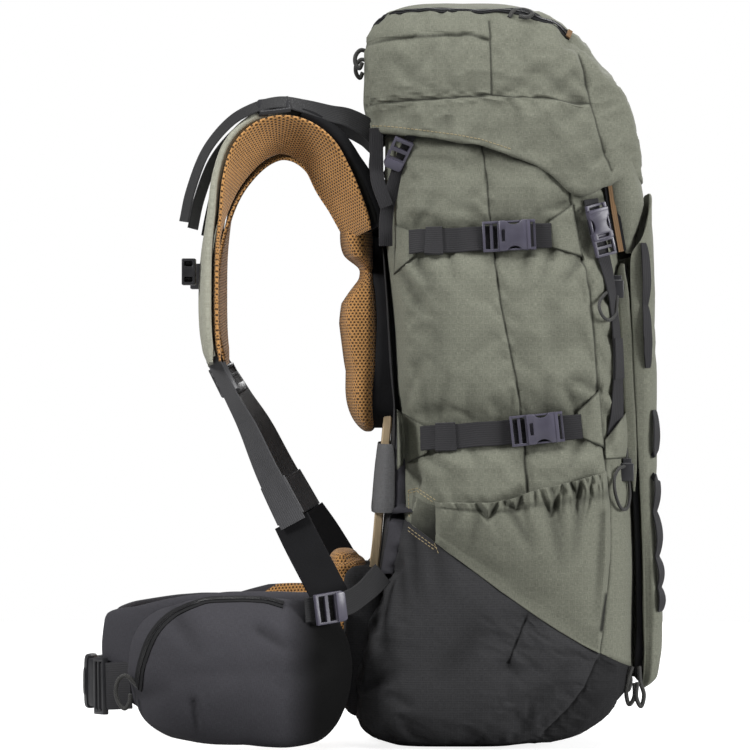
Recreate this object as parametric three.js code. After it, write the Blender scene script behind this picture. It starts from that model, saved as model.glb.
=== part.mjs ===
// Trekking backpack standing on its base, in millimetres.
// +X points away from the wearer, -Y to the wearer's left and +Z up; the floor under the pack's middle is the origin.
import * as THREE from "three";

// Cloth, air and webbing
const BAG_WALL = 2.5;
const POCKET_WALL = 2;
const AIR = 0.5;
const WEB_WIDTH = 25;
const WEB_THICK = 1.8;
const WEB_LIFT = 1.6 * AIR + WEB_THICK / 2;
const LOCK_LIFT = 2.6 * AIR + WEB_THICK;

// Roundness of the plan outlines: 2 is an ellipse, more is squarer
const BAG_POWER = 5;
const PAD_POWER = 3;
const ROUND_POINTS = 32;
const TRAY_POINTS = 12;
// A slanting edge is found by closing in on it by this share of what is left, this many times
const CLOSE_IN = { share: 0.6, times: 30 };

// The bag's outline at rising heights: its back and front edges and half of its width
const BAG = [
  { z: 0, back: 18, front: 146, half: 92 },
  { z: 6, back: 1, front: 184, half: 122 },
  { z: 16, back: -14, front: 214, half: 138 },
  { z: 31, back: -20, front: 237, half: 148 },
  { z: 60, back: -22, front: 262, half: 157 },
  { z: 100, back: -18, front: 268, half: 163 },
  { z: 150, back: 2, front: 268, half: 166 },
  { z: 195, back: 22, front: 267, half: 166 },
  { z: 238, back: 29, front: 266, half: 164 },
  { z: 290, back: 27, front: 264, half: 161.5 },
  { z: 303, back: 27, front: 263, half: 153 },
  { z: 343, back: 24, front: 260, half: 153 },
  { z: 368, back: 22, front: 258, half: 162 },
  { z: 430, back: 19, front: 255, half: 163 },
  { z: 482, back: 14, front: 252, half: 158 },
  { z: 504, back: 12, front: 250, half: 148 },
  { z: 536, back: 11, front: 249, half: 147 },
  { z: 570, back: 10, front: 248, half: 146 },
  { z: 610, back: 10, front: 245, half: 140 },
  { z: 655, back: 11, front: 238, half: 134 },
];
// The slanting seam between the olive body and the dark base, from the back to the front
const SEAM = [
  { x: 27, z: 238 },
  { x: 268, z: 78 },
];
const BASE_FLOOR_ROWS = [0, 6, 16, 31, 60];
const BASE_SHARES = [1 / 3, 2 / 3, 1];
const BASE_CURVE_TOP = 60;
const BODY_SHARES = [0, 0.5];
const BODY_ROWS = [290, 303, 343, 368, 430, 482, 504, 536, 570, 655];

// The lid's outline at rising heights, and its lower edge from the back to the front
const LID = [
  { z: 555, back: 4, front: 275, half: 147 },
  { z: 576, back: 2, front: 275, half: 149 },
  { z: 600, back: -2, front: 273, half: 151 },
  { z: 633, back: -6, front: 268, half: 151 },
  { z: 662, back: -12, front: 258, half: 149 },
  { z: 691, back: -11, front: 240, half: 146 },
  { z: 716, back: -11, front: 220, half: 140 },
  { z: 735, back: -6, front: 200, half: 131 },
  { z: 748, back: 3, front: 183, half: 119 },
  { z: 757, back: 16, front: 164, half: 102 },
  { z: 763, back: 36, front: 140, half: 76 },
];
const LID_TOP = 766;
const LID_EDGE = [
  { x: -12, z: 631 },
  { x: 37, z: 624 },
  { x: 106, z: 614 },
  { x: 167, z: 593 },
  { x: 197, z: 571 },
  { x: 215, z: 558 },
  { x: 232, z: 560 },
  { x: 243, z: 586 },
  { x: 262, z: 584 },
  { x: 276, z: 579 },
];
const LID_SHARES = [0, 0.5];
const LID_ROWS = [640, 662, 691, 716, 735, 748, 757, 763];
const LID_CURVE = { start: 700, reach: 40 };

// The front pocket: a tray that stands out from its edge to its front face
const TRAY = [
  { z: 60, edge: 272, front: 277, half: 92 },
  { z: 66, edge: 273, front: 284, half: 100 },
  { z: 78, edge: 274, front: 289, half: 106 },
  { z: 110, edge: 274, front: 292, half: 112 },
  { z: 153, edge: 273, front: 292, half: 116 },
  { z: 224, edge: 271, front: 291, half: 118 },
  { z: 325, edge: 266, front: 291, half: 118 },
  { z: 417, edge: 262, front: 290, half: 118 },
  { z: 498, edge: 258, front: 288, half: 118 },
  { z: 576, edge: 251, front: 285, half: 118 },
];
const TRAY_MOUTH = [
  { x: 252, z: 498 },
  { x: 277, z: 527 },
  { x: 285, z: 573 },
];
const TRAY_ROWS = [60, 66, 78, 110, 153, 224, 325, 417];

// The lid's front flap, which hangs into the mouth of the front pocket
const FLAP = [
  { z: 503, edge: 254, front: 267, half: 112 },
  { z: 530, edge: 250, front: 270, half: 116 },
  { z: 556, edge: 246, front: 269, half: 119 },
  { z: 576, edge: 243, front: 266, half: 120 },
  { z: 600, edge: 240, front: 258, half: 118 },
];

// The black strip between the bag and the front pocket
const GUSSET_INSET = 6;
const GUSSET_THICK = 3;
const GUSSET_ROWS = [74, 110, 153, 224, 325, 417, 494];

// The side pocket: how far along the bag it reaches, its top edge, and how far it bellies out
const SIDE_POCKET = {
  rear: 60,
  front: 222,
  topRear: 255,
  topFront: 289,
  above: 4,
  belly: 15,
  rearOpening: 0.5,
  gathers: 6,
  gatherDepth: 2.4,
  columns: 14,
  rows: 5,
};

// Straps that lie on the bag: where they run along it
const UPPER_STRAP = { rear: { x: 38, z: 518 }, front: { x: 176, z: 522 }, buckle: 0.7 };
const LOWER_STRAP = { rear: { x: 54, z: 317.5 }, front: { x: 205, z: 329 }, buckle: 0.72 };
const STRAP_STEPS = 7;
const LID_STRAP = [
  { x: 218, z: 555 },
  { x: 221, z: 536 },
  { x: 228, z: 504 },
  { x: 234, z: 482 },
  { x: 241, z: 430 },
  { x: 244, z: 368 },
  { x: 242, z: 343 },
  { x: 236, z: 316 },
];
const LID_STRAP_BUCKLE = { x: 223.5, z: 526 };
const LID_STRAP_WIDTH = 22;
const LID_REAR_STRAP = [
  { x: 44, z: 640 },
  { x: 37, z: 622 },
  { x: 28, z: 602 },
  { x: 19, z: 574 },
];
const LID_REAR_LOCK = { x: 29, z: 604 };
const LID_REAR_TAIL = [
  { x: 10, y: -117, z: 548 },
  { x: 8, y: -117, z: 528 },
];

// The daisy chain on the front pocket: heights of its tacks, and how far the loops between them stand out
const DAISY_Y = 88;
const DAISY_WIDTH = 15;
const DAISY_TACKS = [
  { z: 505, bow: 2 },
  { z: 455, bow: 2 },
  { z: 410, bow: 0 },
  { z: 345, bow: 5 },
  { z: 290, bow: 5 },
  { z: 242, bow: 5 },
  { z: 196, bow: 6 },
  { z: 146, bow: 0 },
];

// Padded panels on the wearer's side, at rising heights
const BACK_PANEL = [
  { z: 172, rear: 2, half: 94, air: 5 },
  { z: 205, rear: 6.8, half: 100, air: 5 },
  { z: 270, rear: 12.4, half: 100, air: 2 },
  { z: 335, rear: 18.2, half: 100, air: 1.5 },
  { z: 356, rear: 18.6, half: 100, air: 1.5 },
  { z: 375, rear: 15, half: 100, air: 1.5 },
  { z: 430, rear: 11.5, half: 98, air: 1.5 },
  { z: 500, rear: 8.5, half: 90, air: 1.5 },
  { z: 518, rear: 5, half: 46, air: 1.5 },
  { z: 546, rear: 2, half: 44, air: 1.5 },
  { z: 590, rear: -9, half: 44, air: 1.5 },
  { z: 620, rear: -4, half: 42, air: 1.5 },
];
const BACK_PAD = [
  { z: 322, rear: -12, front: -2, half: 66 },
  { z: 334, rear: -25, front: 5, half: 80 },
  { z: 360, rear: -33, front: 7.5, half: 88 },
  { z: 400, rear: -30, front: 9, half: 90 },
  { z: 440, rear: -25, front: 7, half: 88 },
  { z: 472, rear: -20, front: 4, half: 78 },
  { z: 488, rear: -14, front: 1, half: 56 },
  { z: 496, rear: -20, front: 0, half: 46 },
  { z: 506, rear: -36, front: -1, half: 45 },
  { z: 526, rear: -38, front: -2, half: 45 },
  { z: 538, rear: -31, front: -6, half: 38 },
];
const LUMBAR_PAD = [
  { z: 34, rear: -44, front: -28, half: 58 },
  { z: 48, rear: -50, front: -25, half: 72 },
  { z: 100, rear: -52, front: -25, half: 75 },
  { z: 150, rear: -50, front: -12, half: 73 },
  { z: 188, rear: -44, front: -6, half: 66 },
  { z: 204, rear: -33, front: -14, half: 52 },
];
const STAY = [
  { x: 13.2, z: 354 },
  { x: 13, z: 335 },
  { x: 7.2, z: 270 },
  { x: 1.6, z: 205 },
  { x: -2, z: 178 },
];
const STAY_Y = -62;
const STAY_WIDTH = 20;
const STAY_THICK = 9;
const STAY_SLEEVE = [
  { z: 238, edge: 21, front: -4.6, half: 104 },
  { z: 275, edge: 21, front: -1, half: 104 },
  { z: 312, edge: 20, front: 2.6, half: 104 },
];

// The left shoulder strap from its lower end over the arch to the yoke; turn rolls it about its own run
const SHOULDER = [
  { x: -163, y: -113, z: 392, turn: 4, width: 44 },
  { x: -168, y: -109, z: 427, turn: 8, width: 56 },
  { x: -169, y: -104, z: 468, turn: 11, width: 62 },
  { x: -167, y: -100, z: 509, turn: 14, width: 64 },
  { x: -161, y: -96, z: 545, turn: 18, width: 65 },
  { x: -152, y: -93, z: 579, turn: 24, width: 65 },
  { x: -138, y: -90, z: 604, turn: 28, width: 65 },
  { x: -119, y: -88, z: 623, turn: 31, width: 65 },
  { x: -97, y: -86, z: 630, turn: 32, width: 65 },
  { x: -74, y: -84, z: 625, turn: 32, width: 65 },
  { x: -54, y: -83, z: 611, turn: 32, width: 64 },
  { x: -41, y: -82, z: 589, turn: 33, width: 63 },
  { x: -29, y: -81, z: 564, turn: 31, width: 62 },
  { x: -16, y: -80, z: 536, turn: 28, width: 60 },
  { x: -4, y: -80, z: 510, turn: 24, width: 56 },
];
const SHOULDER_FOAM = { thick: 11, lift: 4.5 };
const SHOULDER_MESH = { thick: 5.6, lift: -4.9 };
const SHOULDER_SIDES = 8;
const SHOULDER_STEPS = 17;

const LIFTER = [
  { x: 5, y: -84, z: 610, turn: 0 },
  { x: -3, y: -86, z: 622, turn: 4 },
  { x: -19, y: -90, z: 646, turn: 10 },
  { x: -34, y: -95, z: 655, turn: 20 },
  { x: -50, y: -101, z: 652, turn: 30 },
  { x: -72, y: -105, z: 655, turn: 35 },
  { x: -98, y: -107, z: 659, turn: 35 },
  { x: -126, y: -107, z: 652, turn: 30 },
  { x: -154, y: -106, z: 634, turn: 20 },
  { x: -176, y: -106, z: 604, turn: 10 },
  { x: -190, y: -106, z: 570, turn: 4 },
  { x: -196, y: -106, z: 540, turn: 0 },
];
const LIFTER_WIDTH = 20;
const LIFTER_STEPS = 16;
const LIFTER_LOCK_AT = 6;

const STRAP_LOCK = { x: -158, y: -113.5, z: 374, dx: 0.4, dz: -0.9 };
const STRAP_WEBBING = [
  { x: -150, y: -115, z: 352, turn: 12 },
  { x: -137, y: -120, z: 326, turn: 20 },
  { x: -115, y: -128, z: 284, turn: 45 },
  { x: -90, y: -136, z: 244, turn: 78 },
];
const STRAP_SLEEVE = [
  { x: -92, y: -129, z: 247, turn: 80 },
  { x: -74, y: -133, z: 210, turn: 86 },
  { x: -54, y: -137, z: 173, turn: 90 },
];
const SLEEVE_WIDTH = 38;
const STRAP_SWING = { left: 0, right: 15 };
const STERNUM_SLIDER = { x: -190, y: -102, z: 486, long: 27, deep: 14, wide: 24, bar: 3 };

// The left hip wing from the lumbar pad round to its tip
const HIP_WING = [
  { x: -37, y: -84, z: 100, width: 116, thick: 14 },
  { x: -54, y: -125, z: 94, width: 132, thick: 19 },
  { x: -97, y: -154, z: 89, width: 146, thick: 20 },
  { x: -150, y: -163, z: 89, width: 144, thick: 20 },
  { x: -205, y: -150, z: 93, width: 130, thick: 19 },
  { x: -245, y: -126, z: 100, width: 108, thick: 17 },
  { x: -268, y: -100, z: 107, width: 84, thick: 14 },
  { x: -277, y: -84, z: 108, width: 62, thick: 9 },
];
const HIP_STEPS = 12;
const HIP_SIDES = 8;
const HIP_POCKET = { start: 0.08, end: 0.69, z: 83, half: 73, belly: 40, power: 3, spokes: 16 };
const HIP_POCKET_RINGS = [1, 0.93, 0.8, 0.58, 0.3];
const HIP_WEBBING = [
  { x: -275, y: -116, z: 64, turn: 0 },
  { x: -287, y: -98, z: 63, turn: 0 },
  { x: -292, y: -78, z: 62, turn: 0 },
  { x: -290, y: -60, z: 62, turn: 0 },
  { x: -286.5, y: -50, z: 62, turn: 0 },
];
const HIP_WEB_WIDTH = 48;
const HIP_BUCKLE = { centre: -246, radius: 58, thick: 10, sweep: 47, bottom: 33, top: 90, columns: 10 };

const STABILISER = [
  { x: -70, y: -186, z: 145 },
  { x: -48, y: -176, z: 147 },
  { x: -26, y: -162, z: 152 },
  { x: -8, y: -144, z: 164 },
  { x: 8, y: -136, z: 180 },
];
const STABILISER_LOCK = { x: -44, z: 147 };

// Moulded hardware: a fastened side-release buckle, whose edge is cut in from its full width, and a ladder lock
const RELEASE_BUCKLE = {
  bar: 3,
  slotAt: 20,
  slotDeep: 4,
  thick: 9,
  edge: [
    { x: -25, cut: 3 },
    { x: -22, cut: 0 },
    { x: -4, cut: 0 },
    { x: -1, cut: 4.5 },
    { x: 9, cut: 4.5 },
    { x: 12, cut: 1 },
    { x: 22, cut: 1 },
    { x: 25, cut: 4 },
  ],
};
const LADDER_LOCK = {
  long: 32,
  bar: 3,
  corner: 4,
  thick: 4.5,
  upper: { x: -9, deep: 5 },
  lower: { x: 1, deep: 4 },
};

const MATERIALS = {
  olive: new THREE.MeshStandardMaterial({ color: 0x6e7063, roughness: 0.85, metalness: 0 }),
  dark: new THREE.MeshStandardMaterial({ color: 0x363638, roughness: 0.85, metalness: 0 }),
  black: new THREE.MeshStandardMaterial({ color: 0x161617, roughness: 0.9, metalness: 0 }),
  webbing: new THREE.MeshStandardMaterial({ color: 0x3e3d41, roughness: 0.8, metalness: 0 }),
  plastic: new THREE.MeshStandardMaterial({ color: 0x4d4b58, roughness: 0.45, metalness: 0 }),
  mesh: new THREE.MeshStandardMaterial({ color: 0x8b6e4c, roughness: 0.95, metalness: 0 }),
  stay: new THREE.MeshStandardMaterial({ color: 0xa08d70, roughness: 0.6, metalness: 0 }),
};

const { lerp, degToRad, clamp } = THREE.MathUtils;
const vector = (x, y, z) => new THREE.Vector3(x, y, z);

// A column's value at a place between the rows of a table.
function column(table, along, name, at) {
  const last = table.length - 1;
  const row = clamp(table.findIndex((r) => r[along] >= at) - 1, 0, last - 1);
  const [from, to] = [table[row], table[row + 1]];
  return lerp(from[name], to[name], (at - from[along]) / (to[along] - from[along]));
}

// A point of a rounded rectangle of half size 1, in the direction of an angle.
function roundedUnit(angle, power) {
  const [c, s] = [Math.cos(angle), Math.sin(angle)];
  const reach = (Math.abs(c) ** power + Math.abs(s) ** power) ** (-1 / power);
  return [reach * c, reach * s];
}

// Closed surfaces are collected as rows of points, joined row to row.
class Skin {
  constructor() {
    this.points = [];
    this.faces = [];
  }

  row(points) {
    return points.map((p) => this.points.push(p.x, p.y, p.z) / 3 - 1);
  }

  // Two rows of the same length, joined by pairs of triangles.
  join(a, b, ring) {
    const count = ring ? a.length : a.length - 1;
    for (let i = 0; i < count; i += 1) {
      const j = (i + 1) % a.length;
      this.faces.push(a[i], a[j], b[j], a[i], b[j], b[i]);
    }
  }

  // A ring filled by a fan round its middle.
  fan(ring, middle, forward) {
    const [centre] = this.row([middle]);
    ring.forEach((from, i) => {
      const to = ring[(i + 1) % ring.length];
      this.faces.push(centre, ...(forward ? [from, to] : [to, from]));
    });
  }

  geometry() {
    const made = new THREE.BufferGeometry();
    made.setAttribute("position", new THREE.Float32BufferAttribute(this.points, 3));
    const [a, b, c] = [vector(), vector(), vector()];
    let volume = 0;
    for (let i = 0; i < this.faces.length; i += 3) {
      [a, b, c].forEach((p, k) => p.fromArray(this.points, 3 * this.faces[i + k]));
      volume += a.dot(b.cross(c));
    }
    made.setIndex(volume > 0 ? this.faces : this.faces.toReversed());
    made.computeVertexNormals();
    return made;
  }
}

const middleOf = (points) =>
  points.reduce((sum, p) => sum.add(p), vector(0, 0, 0)).divideScalar(points.length);

// A solid through a run of rings, closed at both ends.
function solid(rings) {
  const skin = new Skin();
  const rows = rings.map((ring) => skin.row(ring));
  rows.slice(1).forEach((row, i) => skin.join(rows[i], row, true));
  skin.fan(rows[0], middleOf(rings[0]), false);
  skin.fan(rows.at(-1), middleOf(rings.at(-1)), true);
  return skin.geometry();
}

// A wall between outer and inner rings, open at both ends or closed at the last ring, where top or floor is given.
function tube(outer, inner, outerEnd, innerEnd) {
  const skin = new Skin();
  const outs = outer.map((ring) => skin.row(ring));
  const ins = inner.map((ring) => skin.row(ring));
  outs.slice(1).forEach((row, i) => skin.join(outs[i], row, true));
  ins.slice(1).forEach((row, i) => skin.join(row, ins[i], true));
  skin.join(ins[0], outs[0], true);
  if (outerEnd) {
    skin.fan(outs.at(-1), outerEnd, true);
    skin.fan(ins.at(-1), innerEnd, false);
  } else {
    skin.join(outs.at(-1), ins.at(-1), true);
  }
  return skin.geometry();
}

// A wall between an outer and an inner sheet of points, closed on its four edges.
function sheet(outer, inner) {
  const skin = new Skin();
  const loops = outer.map((row, i) => skin.row([...row, ...inner[i].toReversed()]));
  loops.slice(1).forEach((loop, i) => skin.join(loops[i], loop, true));
  [loops[0].toReversed(), loops.at(-1)].forEach((loop) => {
    for (let i = 0; i < loop.length / 2 - 1; i += 1) {
      const k = loop.length - 1 - i;
      skin.faces.push(loop[i], loop[i + 1], loop[k - 1], loop[i], loop[k - 1], loop[k]);
    }
  });
  return skin.geometry();
}

// Plan outlines

function outlinePoint(table, angle, z, inset) {
  const back = column(table, "z", "back", z);
  const front = column(table, "z", "front", z);
  const half = column(table, "z", "half", z) - inset;
  const [u, v] = roundedUnit(angle, BAG_POWER);
  return vector((front + back) / 2 + ((front - back) / 2 - inset) * u, half * v, z);
}

// A ring of an outline at a height that may change from the back to the front.
function outlineRing(table, heightAt, inset, lift = 0) {
  return Array.from({ length: ROUND_POINTS }, (_, i) => {
    const angle = (2 * Math.PI * i) / ROUND_POINTS;
    let z = heightAt(0);
    for (let turn = 0; turn < CLOSE_IN.times; turn += 1) {
      z = lerp(z, heightAt(outlinePoint(table, angle, z, 0).x), CLOSE_IN.share);
    }
    const point = outlinePoint(table, angle, z, inset);
    point.z += lift;
    return point;
  });
}

// The left side of the bag at a place along it, standing off by a lift.
function onBag(x, z, lift) {
  const back = column(BAG, "z", "back", z);
  const front = column(BAG, "z", "front", z);
  const t = Math.abs(x - (front + back) / 2) / ((front - back) / 2 + lift);
  const half = column(BAG, "z", "half", z) + lift;
  return vector(x, -half * Math.max(1 - t ** BAG_POWER, 0) ** (1 / BAG_POWER), z);
}

function bagNormal(x, z) {
  const step = 0.5;
  const along = onBag(x + step, z, 0).sub(onBag(x - step, z, 0));
  const up = onBag(x, z + step, 0).sub(onBag(x, z - step, 0));
  return along.cross(up).normalize();
}

function bagFront(y, z) {
  const back = column(BAG, "z", "back", z);
  const front = column(BAG, "z", "front", z);
  const share = Math.abs(y) / column(BAG, "z", "half", z);
  return (front + back) / 2 + ((front - back) / 2) * (1 - share ** BAG_POWER) ** (1 / BAG_POWER);
}

// One row of a tray: from its left edge forwards, across its face and back to its right edge.
function trayRow(table, heightAt, inset) {
  return Array.from({ length: TRAY_POINTS + 1 }, (_, i) => {
    const [u, v] = roundedUnit(Math.PI * (i / TRAY_POINTS - 0.5), BAG_POWER);
    let z = heightAt(table[0].edge);
    const across = (name) => column(table, "z", name, z);
    const xAt = () => across("edge") + (across("front") - across("edge")) * u;
    for (let turn = 0; turn < CLOSE_IN.times; turn += 1) {
      z = lerp(z, heightAt(xAt()), CLOSE_IN.share);
    }
    const depth = across("front") - across("edge");
    const reach = depth - Math.sign(depth) * inset;
    return vector(across("edge") + reach * u, (across("half") - inset) * v, z);
  });
}

// Bands: straps and pads swept along a run of stations, each with its place, its outward side and its size

function bandStations(rows, steps, reference, size) {
  const curve = new THREE.CatmullRomCurve3(rows.map((r) => vector(r.x, r.y, r.z)), false, "centripetal");
  return Array.from({ length: steps + 1 }, (_, i) => {
    const share = i / steps;
    const at = curve.getPoint(share);
    const run = curve.getTangent(share);
    const across = reference.clone().addScaledVector(run, -reference.dot(run)).normalize();
    const out = run.clone().cross(across);
    const where = share * (rows.length - 1);
    const from = rows[Math.min(Math.floor(where), rows.length - 2)];
    const to = rows[rows.indexOf(from) + 1];
    const value = (name, other) =>
      from[name] === undefined ? other : lerp(from[name], to[name], where - rows.indexOf(from));
    const turn = degToRad(value("turn", 0));
    const side = across.clone().multiplyScalar(Math.cos(turn)).addScaledVector(out, -Math.sin(turn));
    const face = out.clone().multiplyScalar(Math.cos(turn)).addScaledVector(across, Math.sin(turn));
    return { at, run, side, face, width: value("width", size.width), thick: value("thick", size.thick) };
  });
}

function bagStations(rows, width, lift = WEB_LIFT) {
  const places = rows.map(({ x, z }) => onBag(x, z, lift));
  return rows.map(({ x, z }, i) => {
    const run = places[Math.min(i + 1, rows.length - 1)].clone().sub(places[Math.max(i - 1, 0)]).normalize();
    const face = bagNormal(x, z);
    const side = run.clone().cross(face).normalize();
    return { at: places[i], run, side, face: side.clone().cross(run), width, thick: WEB_THICK };
  });
}

const SQUARE_CORNERS = [
  [-1, -1],
  [1, -1],
  [1, 1],
  [-1, 1],
];

function band(stations, sides = 4, lift = 0) {
  const rings = stations.map(({ at, side, face, width, thick }) =>
    Array.from({ length: sides }, (_, i) => {
      const [u, v] = sides === 4 ? SQUARE_CORNERS[i] : roundedUnit((2 * Math.PI * (i + 0.5)) / sides, PAD_POWER);
      return at.clone().addScaledVector(side, (u * width) / 2).addScaledVector(face, lift + (v * thick) / 2);
    }),
  );
  return solid(rings);
}

// Moulded hardware, drawn flat: x along the strap, y across it

function roundedShape(long, wide, corner) {
  const [a, b] = [long / 2, wide / 2];
  const shape = new THREE.Shape();
  shape.moveTo(-a + corner, -b);
  shape.lineTo(a - corner, -b);
  shape.quadraticCurveTo(a, -b, a, -b + corner);
  shape.lineTo(a, b - corner);
  shape.quadraticCurveTo(a, b, a - corner, b);
  shape.lineTo(-a + corner, b);
  shape.quadraticCurveTo(-a, b, -a, b - corner);
  shape.lineTo(-a, -b + corner);
  shape.quadraticCurveTo(-a, -b, -a + corner, -b);
  return shape;
}

function slot(x, wide, deep) {
  const path = new THREE.Path();
  path.moveTo(x - deep / 2, -wide / 2);
  path.lineTo(x - deep / 2, wide / 2);
  path.lineTo(x + deep / 2, wide / 2);
  path.lineTo(x + deep / 2, -wide / 2);
  path.closePath();
  return path;
}

function releaseBuckle(width) {
  const { bar, slotAt, slotDeep, thick, edge } = RELEASE_BUCKLE;
  const half = width / 2 + bar;
  const outline = edge.map(({ x, cut }) => new THREE.Vector2(x, cut - half));
  const shape = new THREE.Shape([...outline, ...outline.toReversed().map((p) => new THREE.Vector2(p.x, -p.y))]);
  shape.holes.push(slot(-slotAt, width + 1, slotDeep), slot(slotAt, width - 1, slotDeep));
  return new THREE.ExtrudeGeometry(shape, { depth: thick, bevelEnabled: false });
}

function ladderLock(width) {
  const { long, bar, corner, thick, upper, lower } = LADDER_LOCK;
  const shape = roundedShape(long, width + 2 * bar, corner);
  shape.holes.push(slot(upper.x, width + 1, upper.deep), slot(lower.x, width, lower.deep));
  return new THREE.ExtrudeGeometry(shape, { depth: thick, bevelEnabled: false, curveSegments: 2 });
}

function mesh(name, geometry, material) {
  const made = new THREE.Mesh(geometry, material);
  made.name = name;
  return made;
}

// Hardware laid on a strap: along its run, with its back on the strap.
function laidOn(made, at, run, face, lift) {
  const across = face.clone().cross(run).normalize();
  const out = run.clone().cross(across);
  made.quaternion.setFromRotationMatrix(new THREE.Matrix4().makeBasis(run, across, out));
  made.position.copy(at).addScaledVector(out, lift);
  return made;
}

// The bag, its lid and what hangs on its middle

const seamAt = (x) => column(SEAM, "x", "z", x);
const level = (z) => () => z;

function bagBase() {
  const rows = [
    ...BASE_FLOOR_ROWS.map(level),
    ...BASE_SHARES.map((share) => (x) => lerp(BASE_CURVE_TOP, seamAt(x), share)),
  ];
  const liftAt = (height) => BAG_WALL * clamp(1 - height(0) / BASE_CURVE_TOP, 0, 1);
  const outer = rows.map((height) => outlineRing(BAG, height, 0)).toReversed();
  const inner = rows.map((height) => outlineRing(BAG, height, BAG_WALL, liftAt(height))).toReversed();
  const floor = vector((BAG[0].back + BAG[0].front) / 2, 0, 0);
  return tube(outer, inner, floor, floor.clone().setZ(BAG_WALL));
}

function bagBody() {
  const first = BODY_ROWS[0];
  const rows = [
    ...BODY_SHARES.map((share) => (x) => lerp(seamAt(x) + AIR, first, share)),
    ...BODY_ROWS.map(level),
  ];
  const rings = (inset) => rows.map((height) => outlineRing(BAG, height, inset));
  return tube(rings(0), rings(BAG_WALL));
}

function lidHood() {
  const edgeAt = (x) => column(LID_EDGE, "x", "z", clamp(x, LID_EDGE[0].x, LID_EDGE.at(-1).x));
  const rows = [
    ...LID_SHARES.map((share) => (x) => lerp(edgeAt(x), LID_ROWS[0], share)),
    ...LID_ROWS.map(level),
  ];
  const dropAt = (height) => -BAG_WALL * clamp((height(0) - LID_CURVE.start) / LID_CURVE.reach, 0, 1);
  const outer = rows.map((height) => outlineRing(LID, height, 0));
  const inner = rows.map((height) => outlineRing(LID, height, BAG_WALL, dropAt(height)));
  const top = vector((LID.at(-1).back + LID.at(-1).front) / 2, 0, LID_TOP);
  return tube(outer, inner, top, top.clone().setZ(LID_TOP - BAG_WALL));
}

function lidFlap() {
  const rows = (inset) => FLAP.map(({ z }) => trayRow(FLAP, level(z), inset));
  return sheet(rows(0), rows(POCKET_WALL));
}

function frontPocket() {
  const mouthAt = (x) => column(TRAY_MOUTH, "x", "z", clamp(x, TRAY_MOUTH[0].x, TRAY_MOUTH.at(-1).x));
  const last = TRAY_ROWS.at(-1);
  const heights = [...TRAY_ROWS.map(level), (x) => lerp(last, mouthAt(x), 0.5), mouthAt];
  const rows = (inset) => heights.map((height) => trayRow(TRAY, height, inset));
  return sheet(rows(0), rows(POCKET_WALL));
}

// A pad with a flat front on the bag and a rounded rear, at rising heights.
function pad(table, frontAt, sides) {
  const rings = table.map(({ z, rear, half }, row) =>
    Array.from({ length: sides }, (_, i) => {
      const [u, v] = roundedUnit((2 * Math.PI * i) / sides, PAD_POWER);
      const front = frontAt(table[row]);
      return vector((front + rear) / 2 + ((front - rear) / 2) * u, half * v, z);
    }),
  );
  return solid(rings);
}

function backPanel() {
  const frontAt = ({ z, air }) => column(BAG, "z", "back", z) - air;
  return pad(BACK_PANEL, frontAt, 14);
}

function staySleeve() {
  const rows = (inset) => STAY_SLEEVE.map(({ z }) => trayRow(STAY_SLEEVE, level(z), inset));
  return sheet(rows(0), rows(POCKET_WALL));
}

function hipBuckle() {
  const { centre, radius, thick, sweep, bottom, top, columns } = HIP_BUCKLE;
  const rows = (reach) =>
    [bottom, top].map((z) =>
      Array.from({ length: columns + 1 }, (_, i) => {
        const angle = degToRad(lerp(-sweep, sweep, i / columns));
        return vector(centre - reach * Math.cos(angle), reach * Math.sin(angle), z);
      }),
    );
  return sheet(rows(radius), rows(radius - thick));
}

// What comes in pairs, modelled for the wearer's left

function frontGusset() {
  const rings = GUSSET_ROWS.map((z) => {
    const y = -(column(TRAY, "z", "half", z) - GUSSET_INSET);
    const rear = bagFront(y + GUSSET_THICK / 2, z) + 3 * AIR;
    const front = column(TRAY, "z", "edge", z) - AIR;
    return SQUARE_CORNERS.map(([u, v]) =>
      vector((front + rear) / 2 + ((front - rear) / 2) * u, y + (v * GUSSET_THICK) / 2, z),
    );
  });
  return solid(rings);
}

function sidePocket() {
  const { rear, front, topRear, topFront, above, belly, rearOpening } = SIDE_POCKET;
  const { gathers, gatherDepth, columns, rows } = SIDE_POCKET;
  const grid = (wall) =>
    Array.from({ length: rows + 1 }, (_, j) =>
      Array.from({ length: columns + 1 }, (_, i) => {
        const [u, v] = [i / columns, j / rows];
        const x = lerp(rear, front, u);
        const z = lerp(seamAt(x) + above, lerp(topRear, topFront, u), v);
        const open = lerp(rearOpening * (1 - u) ** 2, 1, Math.sin(Math.PI * u) ** 0.8);
        const rise = Math.sin((Math.PI / 2) * Math.min(1.5 * v, 1));
        const gather = gatherDepth * (1 + Math.cos(2 * Math.PI * gathers * u)) * v * v;
        return onBag(x, z, AIR + wall + open * rise * belly + open * gather);
      }),
    );
  return sheet(grid(POCKET_WALL), grid(0));
}

function strapOnBag(strap) {
  const rows = Array.from({ length: STRAP_STEPS + 1 }, (_, i) => ({
    x: lerp(strap.rear.x, strap.front.x, i / STRAP_STEPS),
    z: lerp(strap.rear.z, strap.front.z, i / STRAP_STEPS),
  }));
  return band(bagStations(rows, WEB_WIDTH));
}

function buckleOnBag(name, x, z, dx, dz, width, geometry, lift = 0) {
  const at = onBag(x, z, 0);
  const run = onBag(x + dx, z + dz, 0).sub(onBag(x - dx, z - dz, 0)).normalize();
  return laidOn(mesh(name, geometry(width), MATERIALS.plastic), at, run, bagNormal(x, z), LOCK_LIFT + lift);
}

function strapBuckle(name, strap) {
  const { rear, front, buckle } = strap;
  const [x, z] = [lerp(rear.x, front.x, buckle), lerp(rear.z, front.z, buckle)];
  const slope = (front.z - rear.z) / (front.x - rear.x);
  return buckleOnBag(name, x, z, 10, 10 * slope, WEB_WIDTH, releaseBuckle);
}

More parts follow.
